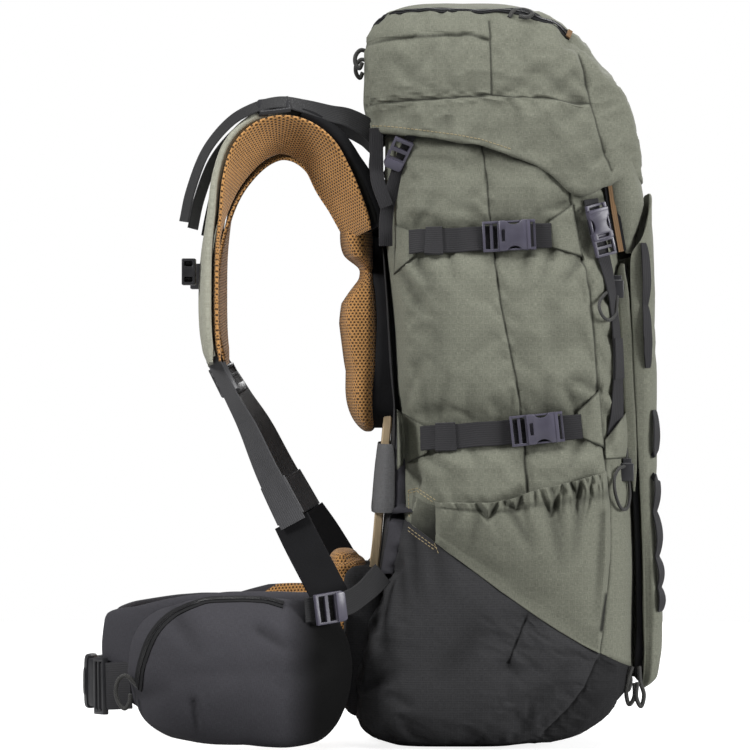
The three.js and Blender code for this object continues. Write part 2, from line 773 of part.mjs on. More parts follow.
function lidRearStrap() {
  const onTheBag = bagStations(LID_REAR_STRAP, WEB_WIDTH - 5, WEB_LIFT + 1.2);
  const last = onTheBag.at(-1);
  const tail = LID_REAR_TAIL.map(({ x, y, z }) => ({ ...last, at: vector(x, y, z) }));
  return band([...onTheBag, ...tail]);
}

function daisyChain() {
  const stations = [];
  const station = (z, bow) => {
    const across = (name) => column(TRAY, "z", name, z);
    const v = DAISY_Y / across("half");
    const u = (1 - v ** BAG_POWER) ** (1 / BAG_POWER);
    const face = vector(u ** (BAG_POWER - 1) / (across("front") - across("edge")), 0, 0);
    face.y = -(v ** (BAG_POWER - 1)) / across("half");
    face.normalize();
    const x = across("edge") + (across("front") - across("edge")) * u;
    const at = vector(x, -DAISY_Y, z).addScaledVector(face, WEB_LIFT + AIR + bow);
    const side = vector(0, 0, 1).cross(face);
    stations.push({ at, side, face, width: DAISY_WIDTH, thick: WEB_THICK });
  };
  DAISY_TACKS.slice(1).forEach((tack, i) => {
    const from = DAISY_TACKS[i];
    [0, 0.25, 0.5, 0.75].forEach((t) => station(lerp(from.z, tack.z, t), from.bow * Math.sin(Math.PI * t)));
  });
  station(DAISY_TACKS.at(-1).z, 0);
  return band(stations);
}

function stay() {
  const rows = STAY.map((row) => ({ ...row, y: STAY_Y, turn: 0 }));
  const size = { width: STAY_WIDTH, thick: STAY_THICK };
  return band(bandStations(rows, rows.length - 1, vector(0, 1, 0), size));
}

function sternumSlider() {
  const { x, y, z, long, deep, wide, bar } = STERNUM_SLIDER;
  const shape = roundedShape(deep, long, 3);
  shape.holes.push(slot(0, long - 2.4 * bar, deep - 2 * bar));
  const geometry = new THREE.ExtrudeGeometry(shape, { depth: wide, bevelEnabled: false, curveSegments: 3 });
  const made = mesh("sternum_slider", geometry, MATERIALS.plastic);
  made.rotation.x = Math.PI / 2;
  made.position.set(x, y + wide / 2, z);
  return made;
}

const UP = vector(0, 0, 1);
const ACROSS = vector(0, 1, 0);
const wingStations = () => bandStations(HIP_WING, HIP_STEPS, UP, {});

// The outside of the hip wing at a share of its run and a height, standing off by a lift.
function onWing(share, z, lift) {
  const stations = bandStations(HIP_WING, 60, UP, {});
  const where = clamp(share, 0, 1) * 60;
  const from = stations[Math.min(Math.floor(where), 59)];
  const to = stations[Math.min(Math.floor(where) + 1, 60)];
  const t = where - Math.floor(where);
  const at = from.at.clone().lerp(to.at, t).setZ(z);
  const out = vector(from.face.x, from.face.y, 0).normalize();
  if (out.y > 0) out.negate();
  return at.addScaledVector(out, from.thick / 2 + lift);
}

function hipPocket() {
  const { start, end, z, half, belly, power, spokes } = HIP_POCKET;
  const ringAt = (reach, wall) =>
    Array.from({ length: spokes }, (_, i) => {
      const [u, v] = roundedUnit((2 * Math.PI * i) / spokes, power);
      const bulge = belly * Math.max(1 - reach ** 2.4, 0) ** 0.62;
      return onWing(lerp(start, end, (1 + u * reach) / 2), z + v * reach * (half - wall), 2 * AIR + bulge - wall);
    });
  const rings = (wall) => HIP_POCKET_RINGS.map((reach) => ringAt(reach * (1 - wall / 120), wall));
  const inner = rings(POCKET_WALL);
  inner[0] = ringAt(1 - POCKET_WALL / 60, 0);
  const middle = (lift) => onWing((start + end) / 2, z, lift);
  return tube(rings(0), inner, middle(AIR + belly), middle(AIR + belly - POCKET_WALL));
}

function onePair(swing) {
  const pair = new THREE.Group();
  const { olive, black, dark, webbing, plastic, mesh: airMesh, stay: stayColour } = MATERIALS;
  const add = (name, geometry, material) => pair.add(mesh(name, geometry, material));

  add("front_gusset", frontGusset(), black);
  add("side_pocket", sidePocket(), olive);
  add("upper_strap", strapOnBag(UPPER_STRAP), webbing);
  add("lower_strap", strapOnBag(LOWER_STRAP), webbing);
  pair.add(strapBuckle("upper_buckle", UPPER_STRAP), strapBuckle("lower_buckle", LOWER_STRAP));
  add("lid_strap", band(bagStations(LID_STRAP, LID_STRAP_WIDTH, WEB_LIFT + AIR)), webbing);
  const { x: buckleX, z: buckleZ } = LID_STRAP_BUCKLE;
  pair.add(buckleOnBag("lid_buckle", buckleX, buckleZ, 2, -10, LID_STRAP_WIDTH, releaseBuckle, 4));
  add("lid_rear_strap", lidRearStrap(), webbing);
  const { x: lockX, z: lockZ } = LID_REAR_LOCK;
  pair.add(buckleOnBag("lid_rear_lock", lockX, lockZ, -4, -10, WEB_WIDTH - 5, ladderLock, 2.6));
  add("daisy_chain", daisyChain(), webbing);

  const shoulder = bandStations(SHOULDER, SHOULDER_STEPS, ACROSS, {});
  const layer = ({ thick, lift }) => band(shoulder.map((s) => ({ ...s, thick })), SHOULDER_SIDES, lift);
  add("shoulder_strap", layer(SHOULDER_FOAM), olive);
  add("shoulder_mesh", layer(SHOULDER_MESH), airMesh);
  const lifter = bandStations(LIFTER, LIFTER_STEPS, ACROSS, { width: LIFTER_WIDTH, thick: WEB_THICK });
  add("load_lifter", band(lifter), webbing);
  const top = lifter[Math.round((LIFTER_LOCK_AT / (LIFTER.length - 1)) * LIFTER_STEPS)];
  const lifterLock = mesh("lifter_lock", ladderLock(LIFTER_WIDTH), plastic);
  const upward = top.face.z > 0 ? top.face : top.face.clone().negate();
  pair.add(laidOn(lifterLock, top.at, top.run, upward, LOCK_LIFT));

  const { x, y, z, dx, dz } = STRAP_LOCK;
  const strapLock = mesh("strap_lock", ladderLock(WEB_WIDTH), plastic);
  pair.add(laidOn(strapLock, vector(x, y, z), vector(dx, 0, dz).normalize(), vector(-1, 0, 0), 0));
  const webSize = { width: WEB_WIDTH + 3, thick: WEB_THICK };
  const swung = (rows, first) =>
    rows.map((row, i) => ({ ...row, x: row.x + swing * Math.sin((Math.PI * (i + first)) / 7) }));
  add("strap_webbing", band(bandStations(swung(STRAP_WEBBING, 1), 8, ACROSS, webSize)), webbing);
  const sleeveSize = { width: SLEEVE_WIDTH, thick: 3 };
  add("strap_sleeve", band(bandStations(swung(STRAP_SLEEVE, 4), 5, ACROSS, sleeveSize)), dark);
  pair.add(sternumSlider());
  add("stay", stay(), stayColour);

  add("hip_wing", band(wingStations(), HIP_SIDES), dark);
  add("hip_pocket", hipPocket(), dark);
  const hipWebSize = { width: HIP_WEB_WIDTH, thick: WEB_THICK };
  add("hip_webbing", band(bandStations(HIP_WEBBING, 8, UP, hipWebSize)), webbing);
  const stabiliserSize = { width: WEB_WIDTH, thick: WEB_THICK };
  const stabiliser = bandStations(STABILISER, 8, UP, stabiliserSize);
  add("stabiliser_strap", band(stabiliser), webbing);
  const near = stabiliser.reduce((best, s) =>
    Math.abs(s.at.x - STABILISER_LOCK.x) < Math.abs(best.at.x - STABILISER_LOCK.x) ? s : best,
  );
  const lock = mesh("stabiliser_lock", ladderLock(WEB_WIDTH), plastic);
  const outward = near.face.y < 0 ? near.face : near.face.clone().negate();
  pair.add(laidOn(lock, near.at, near.run, outward, LOCK_LIFT));
  return pair;
}

const backpack = new THREE.Group();
backpack.add(
  mesh("bag_body", bagBody(), MATERIALS.olive),
  mesh("bag_base", bagBase(), MATERIALS.dark),
  mesh("lid", lidHood(), MATERIALS.olive),
  mesh("lid_flap", lidFlap(), MATERIALS.olive),
  mesh("front_pocket", frontPocket(), MATERIALS.olive),
  mesh("back_panel", backPanel(), MATERIALS.dark),
  mesh("back_pad", pad(BACK_PAD, (row) => row.front, 14), MATERIALS.mesh),
  mesh("stay_sleeve", staySleeve(), MATERIALS.dark),
  mesh("lumbar_pad", pad(LUMBAR_PAD, (row) => row.front, 16), MATERIALS.mesh),
  mesh("hip_buckle", hipBuckle(), MATERIALS.plastic),
);
for (const [side, mirror] of [
  ["left", 1],
  ["right", -1],
]) {
  const pair = onePair(STRAP_SWING[side]);
  pair.children.forEach((piece) => {
    piece.name = `${piece.name}_${side}`;
  });
  pair.scale.y = mirror;
  backpack.add(pair);
}

export default backpack;
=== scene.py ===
import math

import bmesh
import bpy
import numpy as np
from mathutils import Matrix, Vector, noise
from mathutils.bvhtree import BVHTree


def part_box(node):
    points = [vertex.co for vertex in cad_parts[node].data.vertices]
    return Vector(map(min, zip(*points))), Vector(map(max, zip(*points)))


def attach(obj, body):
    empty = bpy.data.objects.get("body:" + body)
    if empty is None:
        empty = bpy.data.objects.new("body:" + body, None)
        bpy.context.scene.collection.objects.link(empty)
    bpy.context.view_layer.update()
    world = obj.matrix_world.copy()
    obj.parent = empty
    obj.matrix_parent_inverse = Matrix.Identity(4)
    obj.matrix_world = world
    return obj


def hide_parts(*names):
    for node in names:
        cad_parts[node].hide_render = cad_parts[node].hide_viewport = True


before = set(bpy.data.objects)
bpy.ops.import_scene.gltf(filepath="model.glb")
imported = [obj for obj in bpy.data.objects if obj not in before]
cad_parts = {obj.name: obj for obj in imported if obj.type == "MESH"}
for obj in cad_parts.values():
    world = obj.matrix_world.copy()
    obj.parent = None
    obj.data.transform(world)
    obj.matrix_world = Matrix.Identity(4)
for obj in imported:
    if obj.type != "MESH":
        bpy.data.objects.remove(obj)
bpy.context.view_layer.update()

# The studio: a long lens at mid height looks square at the pack's left side.
# Wide soft lights stand over a pale floor, the brightest on the wearer's side.
camera_distance = 4.5
camera_height = 0.3807
view_width = 0.78375
sensor = 36
camera = bpy.data.objects.new("camera", bpy.data.cameras.new("camera"))
camera.data.sensor_width = sensor
camera.data.lens = sensor * camera_distance / view_width
camera.location = (0, -camera_distance, camera_height)
camera.rotation_euler = (math.pi / 2, 0, 0)
bpy.context.scene.collection.objects.link(camera)
bpy.context.scene.camera = camera
bpy.context.scene.view_settings.view_transform = "Standard"


class Wire:
    """A socket in a node tree. Operators on it add Math nodes, and make() adds any other node."""

    def __init__(self, tree, socket=None):
        self.tree = tree
        self.socket = socket

    def feed(self, socket, value):
        if isinstance(value, Wire):
            self.tree.links.new(value.socket, socket)
        else:
            socket.default_value = value

    def make(self, kind, inputs=None, out=0, **settings):
        node = self.tree.nodes.new(kind)
        for name, value in settings.items():
            setattr(node, name, value)
        for key, value in (inputs or {}).items():
            self.feed(node.inputs[key], value)
        return Wire(self.tree, node.outputs[out])

    def maths(self, operation, *values):
        return self.make("ShaderNodeMath", dict(enumerate(values)), operation=operation)

    def smooth(self, low, high):
        ends = {0: self, 1: low, 2: high}
        return self.make("ShaderNodeMapRange", ends, interpolation_type="SMOOTHSTEP")

    def mixed(self, first, second):
        """The first colour where this value is 0 and the second where it is 1."""
        return self.make("ShaderNodeMix", {0: self, 6: first, 7: second}, out=2, data_type="RGBA")

    def tint(self, colour):
        """A colour that this value makes darker or lighter."""
        return self.make("ShaderNodeVectorMath", {0: colour, "Scale": self}, operation="SCALE")

    def cloudy(self, scale, detail, place=None):
        """Noise from 0 to 1, on the piece's own coordinates where no place is given."""
        place = place or self.make("ShaderNodeTexCoord", out=3)
        return self.make("ShaderNodeTexNoise", {0: place, "Scale": scale, "Detail": detail})

    def zigzag(self, pitch):
        """Falls from a half to 0 and rises again over each pitch."""
        return abs((self / pitch) % 1 - 0.5)

    def __add__(self, other):
        return self.maths("ADD", self, other)

    def __sub__(self, other):
        return self.maths("SUBTRACT", self, other)

    def __rsub__(self, other):
        return self.maths("SUBTRACT", other, self)

    def __mul__(self, other):
        return self.maths("MULTIPLY", self, other)

    def __truediv__(self, other):
        return self.maths("DIVIDE", self, other)

    def __mod__(self, other):
        return self.maths("FLOORED_MODULO", self, other)

    def __abs__(self):
        return self.maths("ABSOLUTE", self)

    __radd__ = __add__
    __rmul__ = __mul__


world = bpy.data.worlds.new("studio")
world.use_nodes = True
bpy.context.scene.world = world
ambient = 0.13
backdrop = Wire(world.node_tree).make("ShaderNodeLightPath")
surround = world.node_tree.nodes["Background"]
backdrop.feed(surround.inputs["Color"], (1, 1, 1, 1))
backdrop.feed(surround.inputs["Strength"], backdrop * (1 - ambient) + ambient)

# name: place, aim, size and power
lights = {
    "key": ((-3.2, -2.0, 2.7), (0, 0, 0.4), 1.2, 172),
    "fill": ((3.6, -2.3, 1.1), (0, 0, 0.3), 1.6, 178),
    "top": ((0.3, -0.9, 3.4), (0, 0, 0.4), 2.0, 66),
    "rear": ((1.5, 3.2, 2.6), (0, 0, 0.4), 2.0, 110),
}
for name, (place, aim, size, power) in lights.items():
    lamp = bpy.data.lights.new(name, "AREA")
    lamp.size = size
    lamp.energy = power
    light = bpy.data.objects.new(name, lamp)
    light.location = place
    light.rotation_euler = (Vector(aim) - Vector(place)).to_track_quat("-Z", "Y").to_euler()
    bpy.context.scene.collection.objects.link(light)


def new_finish(name, roughness, sheen=0.0, gloss=0.5):
    """A material, with its sockets and a wire to start its expressions from."""
    material = bpy.data.materials.new(name)
    material.use_nodes = True
    shader = material.node_tree.nodes["Principled BSDF"]
    shader.inputs["Roughness"].default_value = roughness
    shader.inputs["Sheen Weight"].default_value = sheen
    shader.inputs["Specular IOR Level"].default_value = gloss
    shader.inputs["Sheen Roughness"].default_value = 0.5
    return material, shader.inputs, Wire(material.node_tree)


bpy.ops.object.select_all(action="DESELECT")
bpy.ops.mesh.primitive_circle_add(vertices=96, radius=2.2, fill_type="NGON")
floor = bpy.context.object
floor.name = "floor"
floor_finish, sockets, wire = new_finish("pale_floor", 0.9)
sockets["Base Color"].default_value = (0.4, 0.4, 0.4, 1)
wire.feed(sockets["Emission Color"], wire.make("ShaderNodeLightPath"))
sockets["Emission Strength"].default_value = 0.85
floor.data.materials.append(floor_finish)

# The main bag: a tall olive ripstop sack, cut in three panels a side that are sewn along two standing seams.
# Two straps a side draw it in, so the cloth swells between them and puckers at the strap ends.
MM = 0.001


def tree_of(*things):
    points = []
    faces = []
    for thing in things:
        first = len(points)
        points += [v.co for v in thing.data.vertices]
        faces += [[first + k for k in p.vertices] for p in thing.data.polygons]
    return BVHTree.FromPolygons(points, faces)


def coordinates(piece):
    flat = np.empty(len(piece.data.vertices) * 3, np.float32)
    piece.data.vertices.foreach_get("co", flat)
    return flat.reshape(-1, 3).astype(float)


def normals(piece):
    flat = np.empty(len(piece.data.vertices) * 3, np.float32)
    piece.data.vertex_normals.foreach_get("vector", flat)
    return flat.reshape(-1, 3).astype(float)


def unit(rows):
    return rows / np.linalg.norm(rows, axis=-1, keepdims=True)


def placed_at(piece, points):
    piece.data.vertices.foreach_set("co", points.astype(np.float32).ravel())
    piece.data.update()


def pushed(piece, amount):
    """Moves every point along its normal by an amount in millimetres."""
    placed_at(piece, coordinates(piece) + normals(piece) * (amount * MM)[:, None])


def attribute(piece, name, values=None):
    """Reads a number that each point carries, or writes it."""
    layer = piece.data.attributes.get(name) or piece.data.attributes.new(name, "FLOAT", "POINT")
    if values is not None:
        layer.data.foreach_set("value", np.asarray(values, np.float32))
    found = np.empty(len(piece.data.vertices), np.float32)
    layer.data.foreach_get("value", found)
    return found.astype(float)


def grid_faces(first, rows, columns, ring, flip=False):
    """Four-sided faces between the points of a grid that are numbered row by row from first."""
    across = columns if ring else columns - 1
    j, i = np.meshgrid(np.arange(rows - 1), np.arange(across), indexing="ij")
    k = (i + 1) % columns
    corners = [j * columns + i, j * columns + k, (j + 1) * columns + k, (j + 1) * columns + i]
    faces = first + np.stack(corners, -1).reshape(-1, 4)
    return (faces[:, ::-1] if flip else faces).tolist()


def new_piece(name, points, faces):
    mesh = bpy.data.meshes.new(name)
    mesh.from_pydata(np.asarray(points, float).reshape(-1, 3).tolist(), [], faces)
    mesh.validate()
    mesh.shade_smooth()
    piece = bpy.data.objects.new(name, mesh)
    bpy.context.scene.collection.objects.link(piece)
    return piece


def shell(name, outer, inner, pole=None):
    """A wall between two stacks of rings with the same columns: dense outside, sparse inside.

    The pole is the end that is closed over: the top, the foot, or neither where the wall is open at both.
    """
    rows, columns = outer.shape[:2]
    first = rows * columns
    faces = grid_faces(0, rows, columns, True)
    faces += grid_faces(first, len(inner), columns, True, flip=True)
    for end, out_row, in_row, flip in (("top", rows - 1, len(inner) - 1, False), ("foot", 0, 0, True)):
        if end == pole:
            outside = [out_row * columns + i for i in range(columns)]
            within = [first + in_row * columns + i for i in range(columns)]
            faces += [outside[::-1], within] if flip else [outside, within[::-1]]
            continue
        for i in range(columns):
            k = (i + 1) % columns
            a, b = out_row * columns + i, out_row * columns + k
            c, d = first + in_row * columns + k, first + in_row * columns + i
            faces.append((d, c, b, a) if flip else (a, b, c, d))
    piece = new_piece(name, np.concatenate([outer.reshape(-1, 3), inner.reshape(-1, 3)]), faces)
    attribute(piece, "outer", np.r_[np.ones(first), np.zeros(len(inner) * columns)])
    return piece


def eased(grid, along_rings, along_columns, ring=True):
    """Takes the flats out of a grid by averaging neighbours; its first and last rows stay."""
    grid = grid.copy()
    for _ in range(along_rings):
        if ring:
            grid = (np.roll(grid, 1, 1) + 2 * grid + np.roll(grid, -1, 1)) / 4
        else:
            grid[:, 1:-1] = (grid[:, :-2] + 2 * grid[:, 1:-1] + grid[:, 2:]) / 4
    for _ in range(along_columns):
        grid[1:-1] = (grid[:-2] + 2 * grid[1:-1] + grid[2:]) / 4
    return grid


def even_angles(tree, middle, count):
    """Angles round a solid that divide its outline at that height into even lengths."""
    fine = np.linspace(0, 2 * math.pi, 721)
    outline = np.array([from_outside(tree, middle, a) for a in fine])
    run = np.r_[0, np.cumsum(np.linalg.norm(np.diff(outline, axis=0), axis=1))]
    return np.interp(np.arange(count) / count * run[-1], run, fine)


def from_outside(tree, middle, angle):
    """The outermost point of a solid seen from a point inside it, in a level direction."""
    way = Vector((math.cos(angle), math.sin(angle), 0))
    hit = tree.ray_cast(middle + way, -way, 1)[0]
    return hit or tree.find_nearest(middle + way * 0.15)[0]


def bell(distance, width):
    """1 at no distance, falling off softly over the width."""
    return np.exp(-((distance / width) ** 2))


def ramp(value, start, end):
    """0 up to the start, rising to 1 at the end and staying there."""
    return np.clip((value - start) / (end - start), 0, 1)


def away_from(points, line):
    """Each point's distance from a line, its side of it, and how far along it is, from 0 to 1."""
    best = np.full(len(points), np.inf)
    along = np.zeros(len(points))
    side = np.zeros(len(points))
    line = np.array(line, float)
    for k, (a, b) in enumerate(zip(line[:-1], line[1:])):
        run = b - a
        offset = points - a
        t = np.clip((offset @ run) / (run @ run), 0, 1)
        distance = np.linalg.norm(offset - t[:, None] * run, axis=1)
        nearer = distance < best
        best[nearer] = distance[nearer]
        along[nearer] = (k + t[nearer]) / (len(line) - 1)
        across = (run[0] * offset[:, 1] - run[1] * offset[:, 0]) / np.linalg.norm(run)
        side[nearer] = across[nearer]
    return best, side, along


def seen_from_side(piece):
    """The x and z of each point, in millimetres."""
    return coordinates(piece)[:, [0, 2]] / MM


def refined(piece, lines, reach, rounds):
    """Halves the edges that lie near any of the lines, to let seams stay sharp."""
    for turn in range(rounds):
        flat = seen_from_side(piece)
        outer = attribute(piece, "outer")
        near = np.zeros(len(flat), bool)
        for line in lines:
            near |= away_from(flat, line)[0] < reach / (turn + 1)
        near &= outer > 0.99
        bm = bmesh.new()
        bm.from_mesh(piece.data)
        edges = [e for e in bm.edges if near[e.verts[0].index] and near[e.verts[1].index]]
        bmesh.ops.subdivide_edges(bm, edges=edges, cuts=1, use_grid_fill=True)
        bm.to_mesh(piece.data)
        bm.free()
    piece.data.shade_smooth()


def folds(flat, rows):
    """Soft folds: each row has a start and an end, a width and a depth, and runs out towards its end.

    The second list says how deep in a fold each point is, 0 to 1; the pieces paint it as shade into their
    folds.
    """
    amount = np.zeros(len(flat))
    crease = np.zeros(len(flat))
    for x0, z0, x1, z1, width, depth in rows:
        distance, side, along = away_from(flat, ((x0, z0), (x1, z1)))
        fade = np.cos(np.pi / 2 * along) ** 0.7
        valley = bell(distance, width)
        ridge = bell(side - 1.7 * width, width) * np.exp(-((distance / (2.6 * width)) ** 4))
        amount += fade * depth * (0.55 * ridge - valley)
        crease += fade * depth / 3 * bell(distance, 0.6 * width)
    return amount, np.clip(crease, 0, 1)


def seam_grooves(flat, lines, depth, width):
    """A narrow groove along each line in a shallow valley, with puckers across it and its fold beside it, and
    painted shade along the groove.
    """
    amount = np.zeros(len(flat))
    groove_shade = np.zeros(len(flat))
    for line in lines:
        distance, side, along = away_from(flat, line)
        groove = bell(distance, width)
        fold = bell(side + 3.2 * width, 2.4 * width) * (distance < 9 * width)
        valley = bell(distance, 11 * width)
        pucker = np.sin(along * 41 + side) * np.sin(along * 67) * bell(distance, 5 * width)
        amount += depth * (0.6 * fold - groove - 1.5 * valley + 0.12 * pucker)
        groove_shade = np.maximum(groove_shade, 0.8 * bell(distance, 0.6 * width))
    return amount, groove_shade


def pinch(flat, line, depth, width):
    """Cloth that a strap draws in: a trough under it and a swelling on both sides."""
    distance = away_from(flat, line)[0]
    trough = bell(distance, width)
    swelling = bell(distance - 1.9 * width, width)
    return depth * (0.55 * swelling - trough)


def crumple(piece, *layers):
    """Uneven cloth: layers of noise, each with its height, the size that it changes over, and a seed."""
    points = [Vector(p) for p in coordinates(piece)]
    total = np.zeros(len(points))
    for height, size, seed in layers:
        shift = Vector((seed, 2 * seed, 3 * seed))
        total += height * np.array([noise.noise(p / (size * MM) + shift) for p in points])
    return total


def facing_side(piece):
    """How much the cloth at each point faces the side, from 0 to 1."""
    return np.abs(normals(piece)[:, 1]) ** 0.7


def lay_weave(piece):
    """A flat map in metres for the weave, laid on each face from the way that it looks to most."""
    mesh = piece.data
    mesh.uv_layers.new(name="weave")
    vertex = np.empty(len(mesh.loops), np.int32)
    mesh.loops.foreach_get("vertex_index", vertex)
    total = np.empty(len(mesh.polygons), np.int32)
    mesh.polygons.foreach_get("loop_total", total)
    facing = np.empty(len(mesh.polygons) * 3, np.float32)
    mesh.polygons.foreach_get("normal", facing)
    way = np.repeat(np.abs(facing.reshape(-1, 3)).argmax(1), total)
    co = coordinates(piece)[vertex]
    picks = np.array([(1, 2), (0, 2), (0, 1)])[way]
    uv = np.take_along_axis(co, picks, 1)
    mesh.uv_layers["weave"].data.foreach_set("uv", uv.astype(np.float32).ravel())


def weave_map(wire):
    """The two directions of a piece's weave, across and along, in metres."""
    u = wire.make("ShaderNodeSeparateXYZ", {0: wire.make("ShaderNodeUVMap", uv_map="weave")}, out=0)
    return u, Wire(u.tree, u.socket.node.outputs[1])


def wired(material, sockets, shade, roughness, height, strength, distance):
    """Feeds a finish its colour, its roughness and a relief with a strength and a depth in metres."""
    wire = Wire(material.node_tree)
    wire.feed(sockets["Base Color"], shade)
    wire.feed(sockets["Roughness"], roughness)
    relief = wire.make("ShaderNodeBump", {"Height": height, "Strength": strength, "Distance": distance})
    wire.feed(sockets["Normal"], relief)
    return material


def ripstop(name, colour, pitch, contrast, roughness=0.82, ribs=0.0, checked=1.0):
    """Heathered cloth with a raised check of thicker threads, with painted shade in its sewn creases, folds
    and other shaded places, and a darker tone where a piece carries one.
    """
    rib_pitch = 0.0024
    fine, long = 2300, 220
    material, sockets, wire = new_finish(name, roughness, sheen=0.25 * colour[1], gloss=0.15)
    u, v = weave_map(wire)
    streaks = []
    for a, b in ((u * long, v * fine), (u * fine, v * long)):
        streaks.append(wire.cloudy(1, 2, wire.make("ShaderNodeCombineXYZ", {0: a, 1: b})))
    cloud = wire.cloudy(14, 2, wire.make("ShaderNodeCombineXYZ", {0: u, 1: v}))
    thick_threads = [1 - way.zigzag(pitch).smooth(0.05, 0.14) for way in (u, v)]
    check = thick_threads[0].maths("MAXIMUM", *thick_threads) * checked
    grain = streaks[0] + streaks[1] - 1
    rib = v.zigzag(rib_pitch) * ribs
    tone = grain * contrast + (cloud - 0.5) * 0.07 + check * 0.03 + rib + 1
    # painted shade: each point's painted shade marks, painted shade and darker tone darken the cloth
    seam = wire.make("ShaderNodeAttribute", attribute_name="seam", out=2)
    dim = wire.make("ShaderNodeAttribute", attribute_name="dim", out=2)
    dark = (tone * (1 - seam * 0.78) * (1 - dim)).smooth(0, 2) * 2
    height = grain * 0.6 + check * 0.45 + rib * 2
    return wired(material, sockets, dark.tint(colour), roughness + grain * 0.15, height, 0.35, 0.0005)


def dressed(piece, finish, *nodes):
    """Gives a finished piece its material and place on the frame, and hides the solids that it stands for."""
    piece.data.materials.append(finish)
    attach(piece, "root")
    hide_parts(*nodes)
    return piece


olive = ripstop("olive_ripstop", (0.143, 0.147, 0.116), pitch=0.0066, contrast=0.65)
base_colour = (0.0265, 0.0265, 0.028)
dark_grey = ripstop("dark_ripstop", base_colour, pitch=0.0062, contrast=0.7, ribs=0.3)

bag_middle = 131 * MM
bag_half_length = 118
bag_columns = 270
base_seam = (
    (27, 236), (61, 211), (101, 182), (125, 164), (153, 144), (182, 124.5), (210, 107.5),
    (242, 92), (268, 80),
)
bag_top = 655


def height_of(line, x):
    """The height of a line of straight stretches at each x."""
    return np.interp(x, *np.array(line).T)


def seam_height(x):
    return height_of(base_seam, x)


def middle_level(node):
    low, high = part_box(node)
    return (low.z + high.z) / 2


def rings_on(tree, middle, level, height_at, rows, columns):
    """A stack of rings laid on a solid, spaced evenly at one level, and the angle of each column.

    The height of a point depends on its x and on its share of the stack.
    """
    angles = even_angles(tree, Vector((middle, 0, level)), columns)
    grid = np.empty((rows, columns, 3))
    for i, angle in enumerate(angles):
        x = middle / MM + bag_half_length * math.cos(angle)
        for j in range(rows):
            # the lowest point's x and height depend on each other, so they are found in a few rounds
            for _ in range(4 if j == 0 else 1):
                z = height_at(x, j / (rows - 1))
                hit = from_outside(tree, Vector((middle, 0, z * MM)), angle)
                x = hit.x / MM
            grid[j, i] = hit.x, hit.y, z * MM
    return grid, angles


def body_height(x, v):
    foot = seam_height(x)
    return foot + 0.8 + v * (bag_top - 1.2 - foot)


body_rows = 118
sack_tree = tree_of(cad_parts["bag_body"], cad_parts["bag_base"])
level = middle_level("bag_body")
body_grid, _ = rings_on(sack_tree, bag_middle, level, body_height, body_rows, bag_columns)
body_grid = eased(body_grid, 24, 14)


def settled(grid, held, slack, pressure, cap, bending=0.15, frames=24):
    """Lets rings of cloth find their own folds between the places that hold them, and returns the moved grid.

    Slack is the spare length of the cloth, and cap the most that a point moves.
    """
    coarse = grid[::2, ::2]
    rows, columns = coarse.shape[:2]
    cloth = new_piece("settling", coarse, grid_faces(0, rows, columns, True))
    cloth.vertex_groups.new(name="held").add(np.flatnonzero(held[::2, ::2].ravel()).tolist(), 1.0, "REPLACE")
    change = cloth.modifiers.new("cloth", "CLOTH")
    settings = change.settings
    settings.vertex_group_mass = "held"
    settings.quality = 5
    settings.mass = 0.15
    settings.bending_stiffness = bending
    settings.tension_damping = 10
    settings.compression_damping = 10
    settings.shear_damping = 10
    settings.shrink_min = -slack
    settings.shrink_max = -slack
    settings.use_pressure = True
    settings.uniform_pressure_force = pressure
    settings.effector_weights.gravity = 0
    change.collision_settings.use_collision = False
    change.point_cache.frame_end = frames
    for number in range(1, frames + 1):
        bpy.context.scene.frame_set(number)
    shaped = cloth.evaluated_get(bpy.context.evaluated_depsgraph_get())
    moved = finer(coordinates(shaped).reshape(coarse.shape) - coarse, *grid.shape[:2])
    bpy.context.scene.frame_set(1)
    bpy.data.objects.remove(cloth)
    size = np.linalg.norm(moved, axis=-1, keepdims=True)
    return grid + moved * np.minimum(1, cap * MM / np.maximum(size, 1e-9))


def finer(rows, row_count, column_count):
    """A grid of rings on every second point, filled in to all of them."""
    ring = np.concatenate([rows, rows[:, :1]], 1)
    place = np.arange(column_count) / 2
    k = place.astype(int)
    share = (place - k)[None, :, None]
    wide = ring[:, k] * (1 - share) + ring[:, k + 1] * share
    place = np.minimum(np.arange(row_count) / 2, len(rows) - 1)
    k = np.minimum(place.astype(int), len(rows) - 2)
    share = (place - k)[:, None, None]
    return wide[k] * (1 - share) + wide[k + 1] * share


def near_lines(grid, lines):
    """Marks the points of a grid that lie within reach of any line, seen from the side."""
    flat = grid[..., [0, 2]].reshape(-1, 2) / MM
    held = np.zeros(len(flat), bool)
    for line, reach in lines:
        held |= away_from(flat, line)[0] < reach
    return held.reshape(grid.shape[:2])


def drawn_in(grid, depth):
    """Rings moved towards the bag's upright middle, each by its own depth."""
    away = grid - np.array([bag_middle, 0, 0])
    away[..., 2] = 0
    return grid - unit(away) * depth[:, None, None]


side_seam = ((109, 613), (114, 560), (126, 456), (146, 356), (153, 275), (157, 200))
corner_seam = (
    (195, 578), (200, 554), (210, 500), (217, 466), (225, 376), (230, 315), (235, 283),
    (239, 247), (239, 201), (237, 174), (232, 126), (228, 100),
)
bag_seams = (side_seam, corner_seam)
upper_pull = ((30, 518), (205, 523))
lower_pull = ((30, 316), (228, 331))
seam_hold = 2.6
pull_hold = 9
front_face = 246
holds = [(line, seam_hold) for line in bag_seams] + [(line, pull_hold) for line in (upper_pull, lower_pull)]
held = near_lines(body_grid, holds)
held[0] = True
held[-2:] = True
held |= (body_grid[..., 0] < 34 * MM) | (body_grid[..., 0] > front_face * MM)
held |= (body_grid[..., 2] < 250 * MM) & (body_grid[..., 0] > 66 * MM)
body_grid = settled(body_grid, held, slack=0.038, pressure=1.6, cap=9)
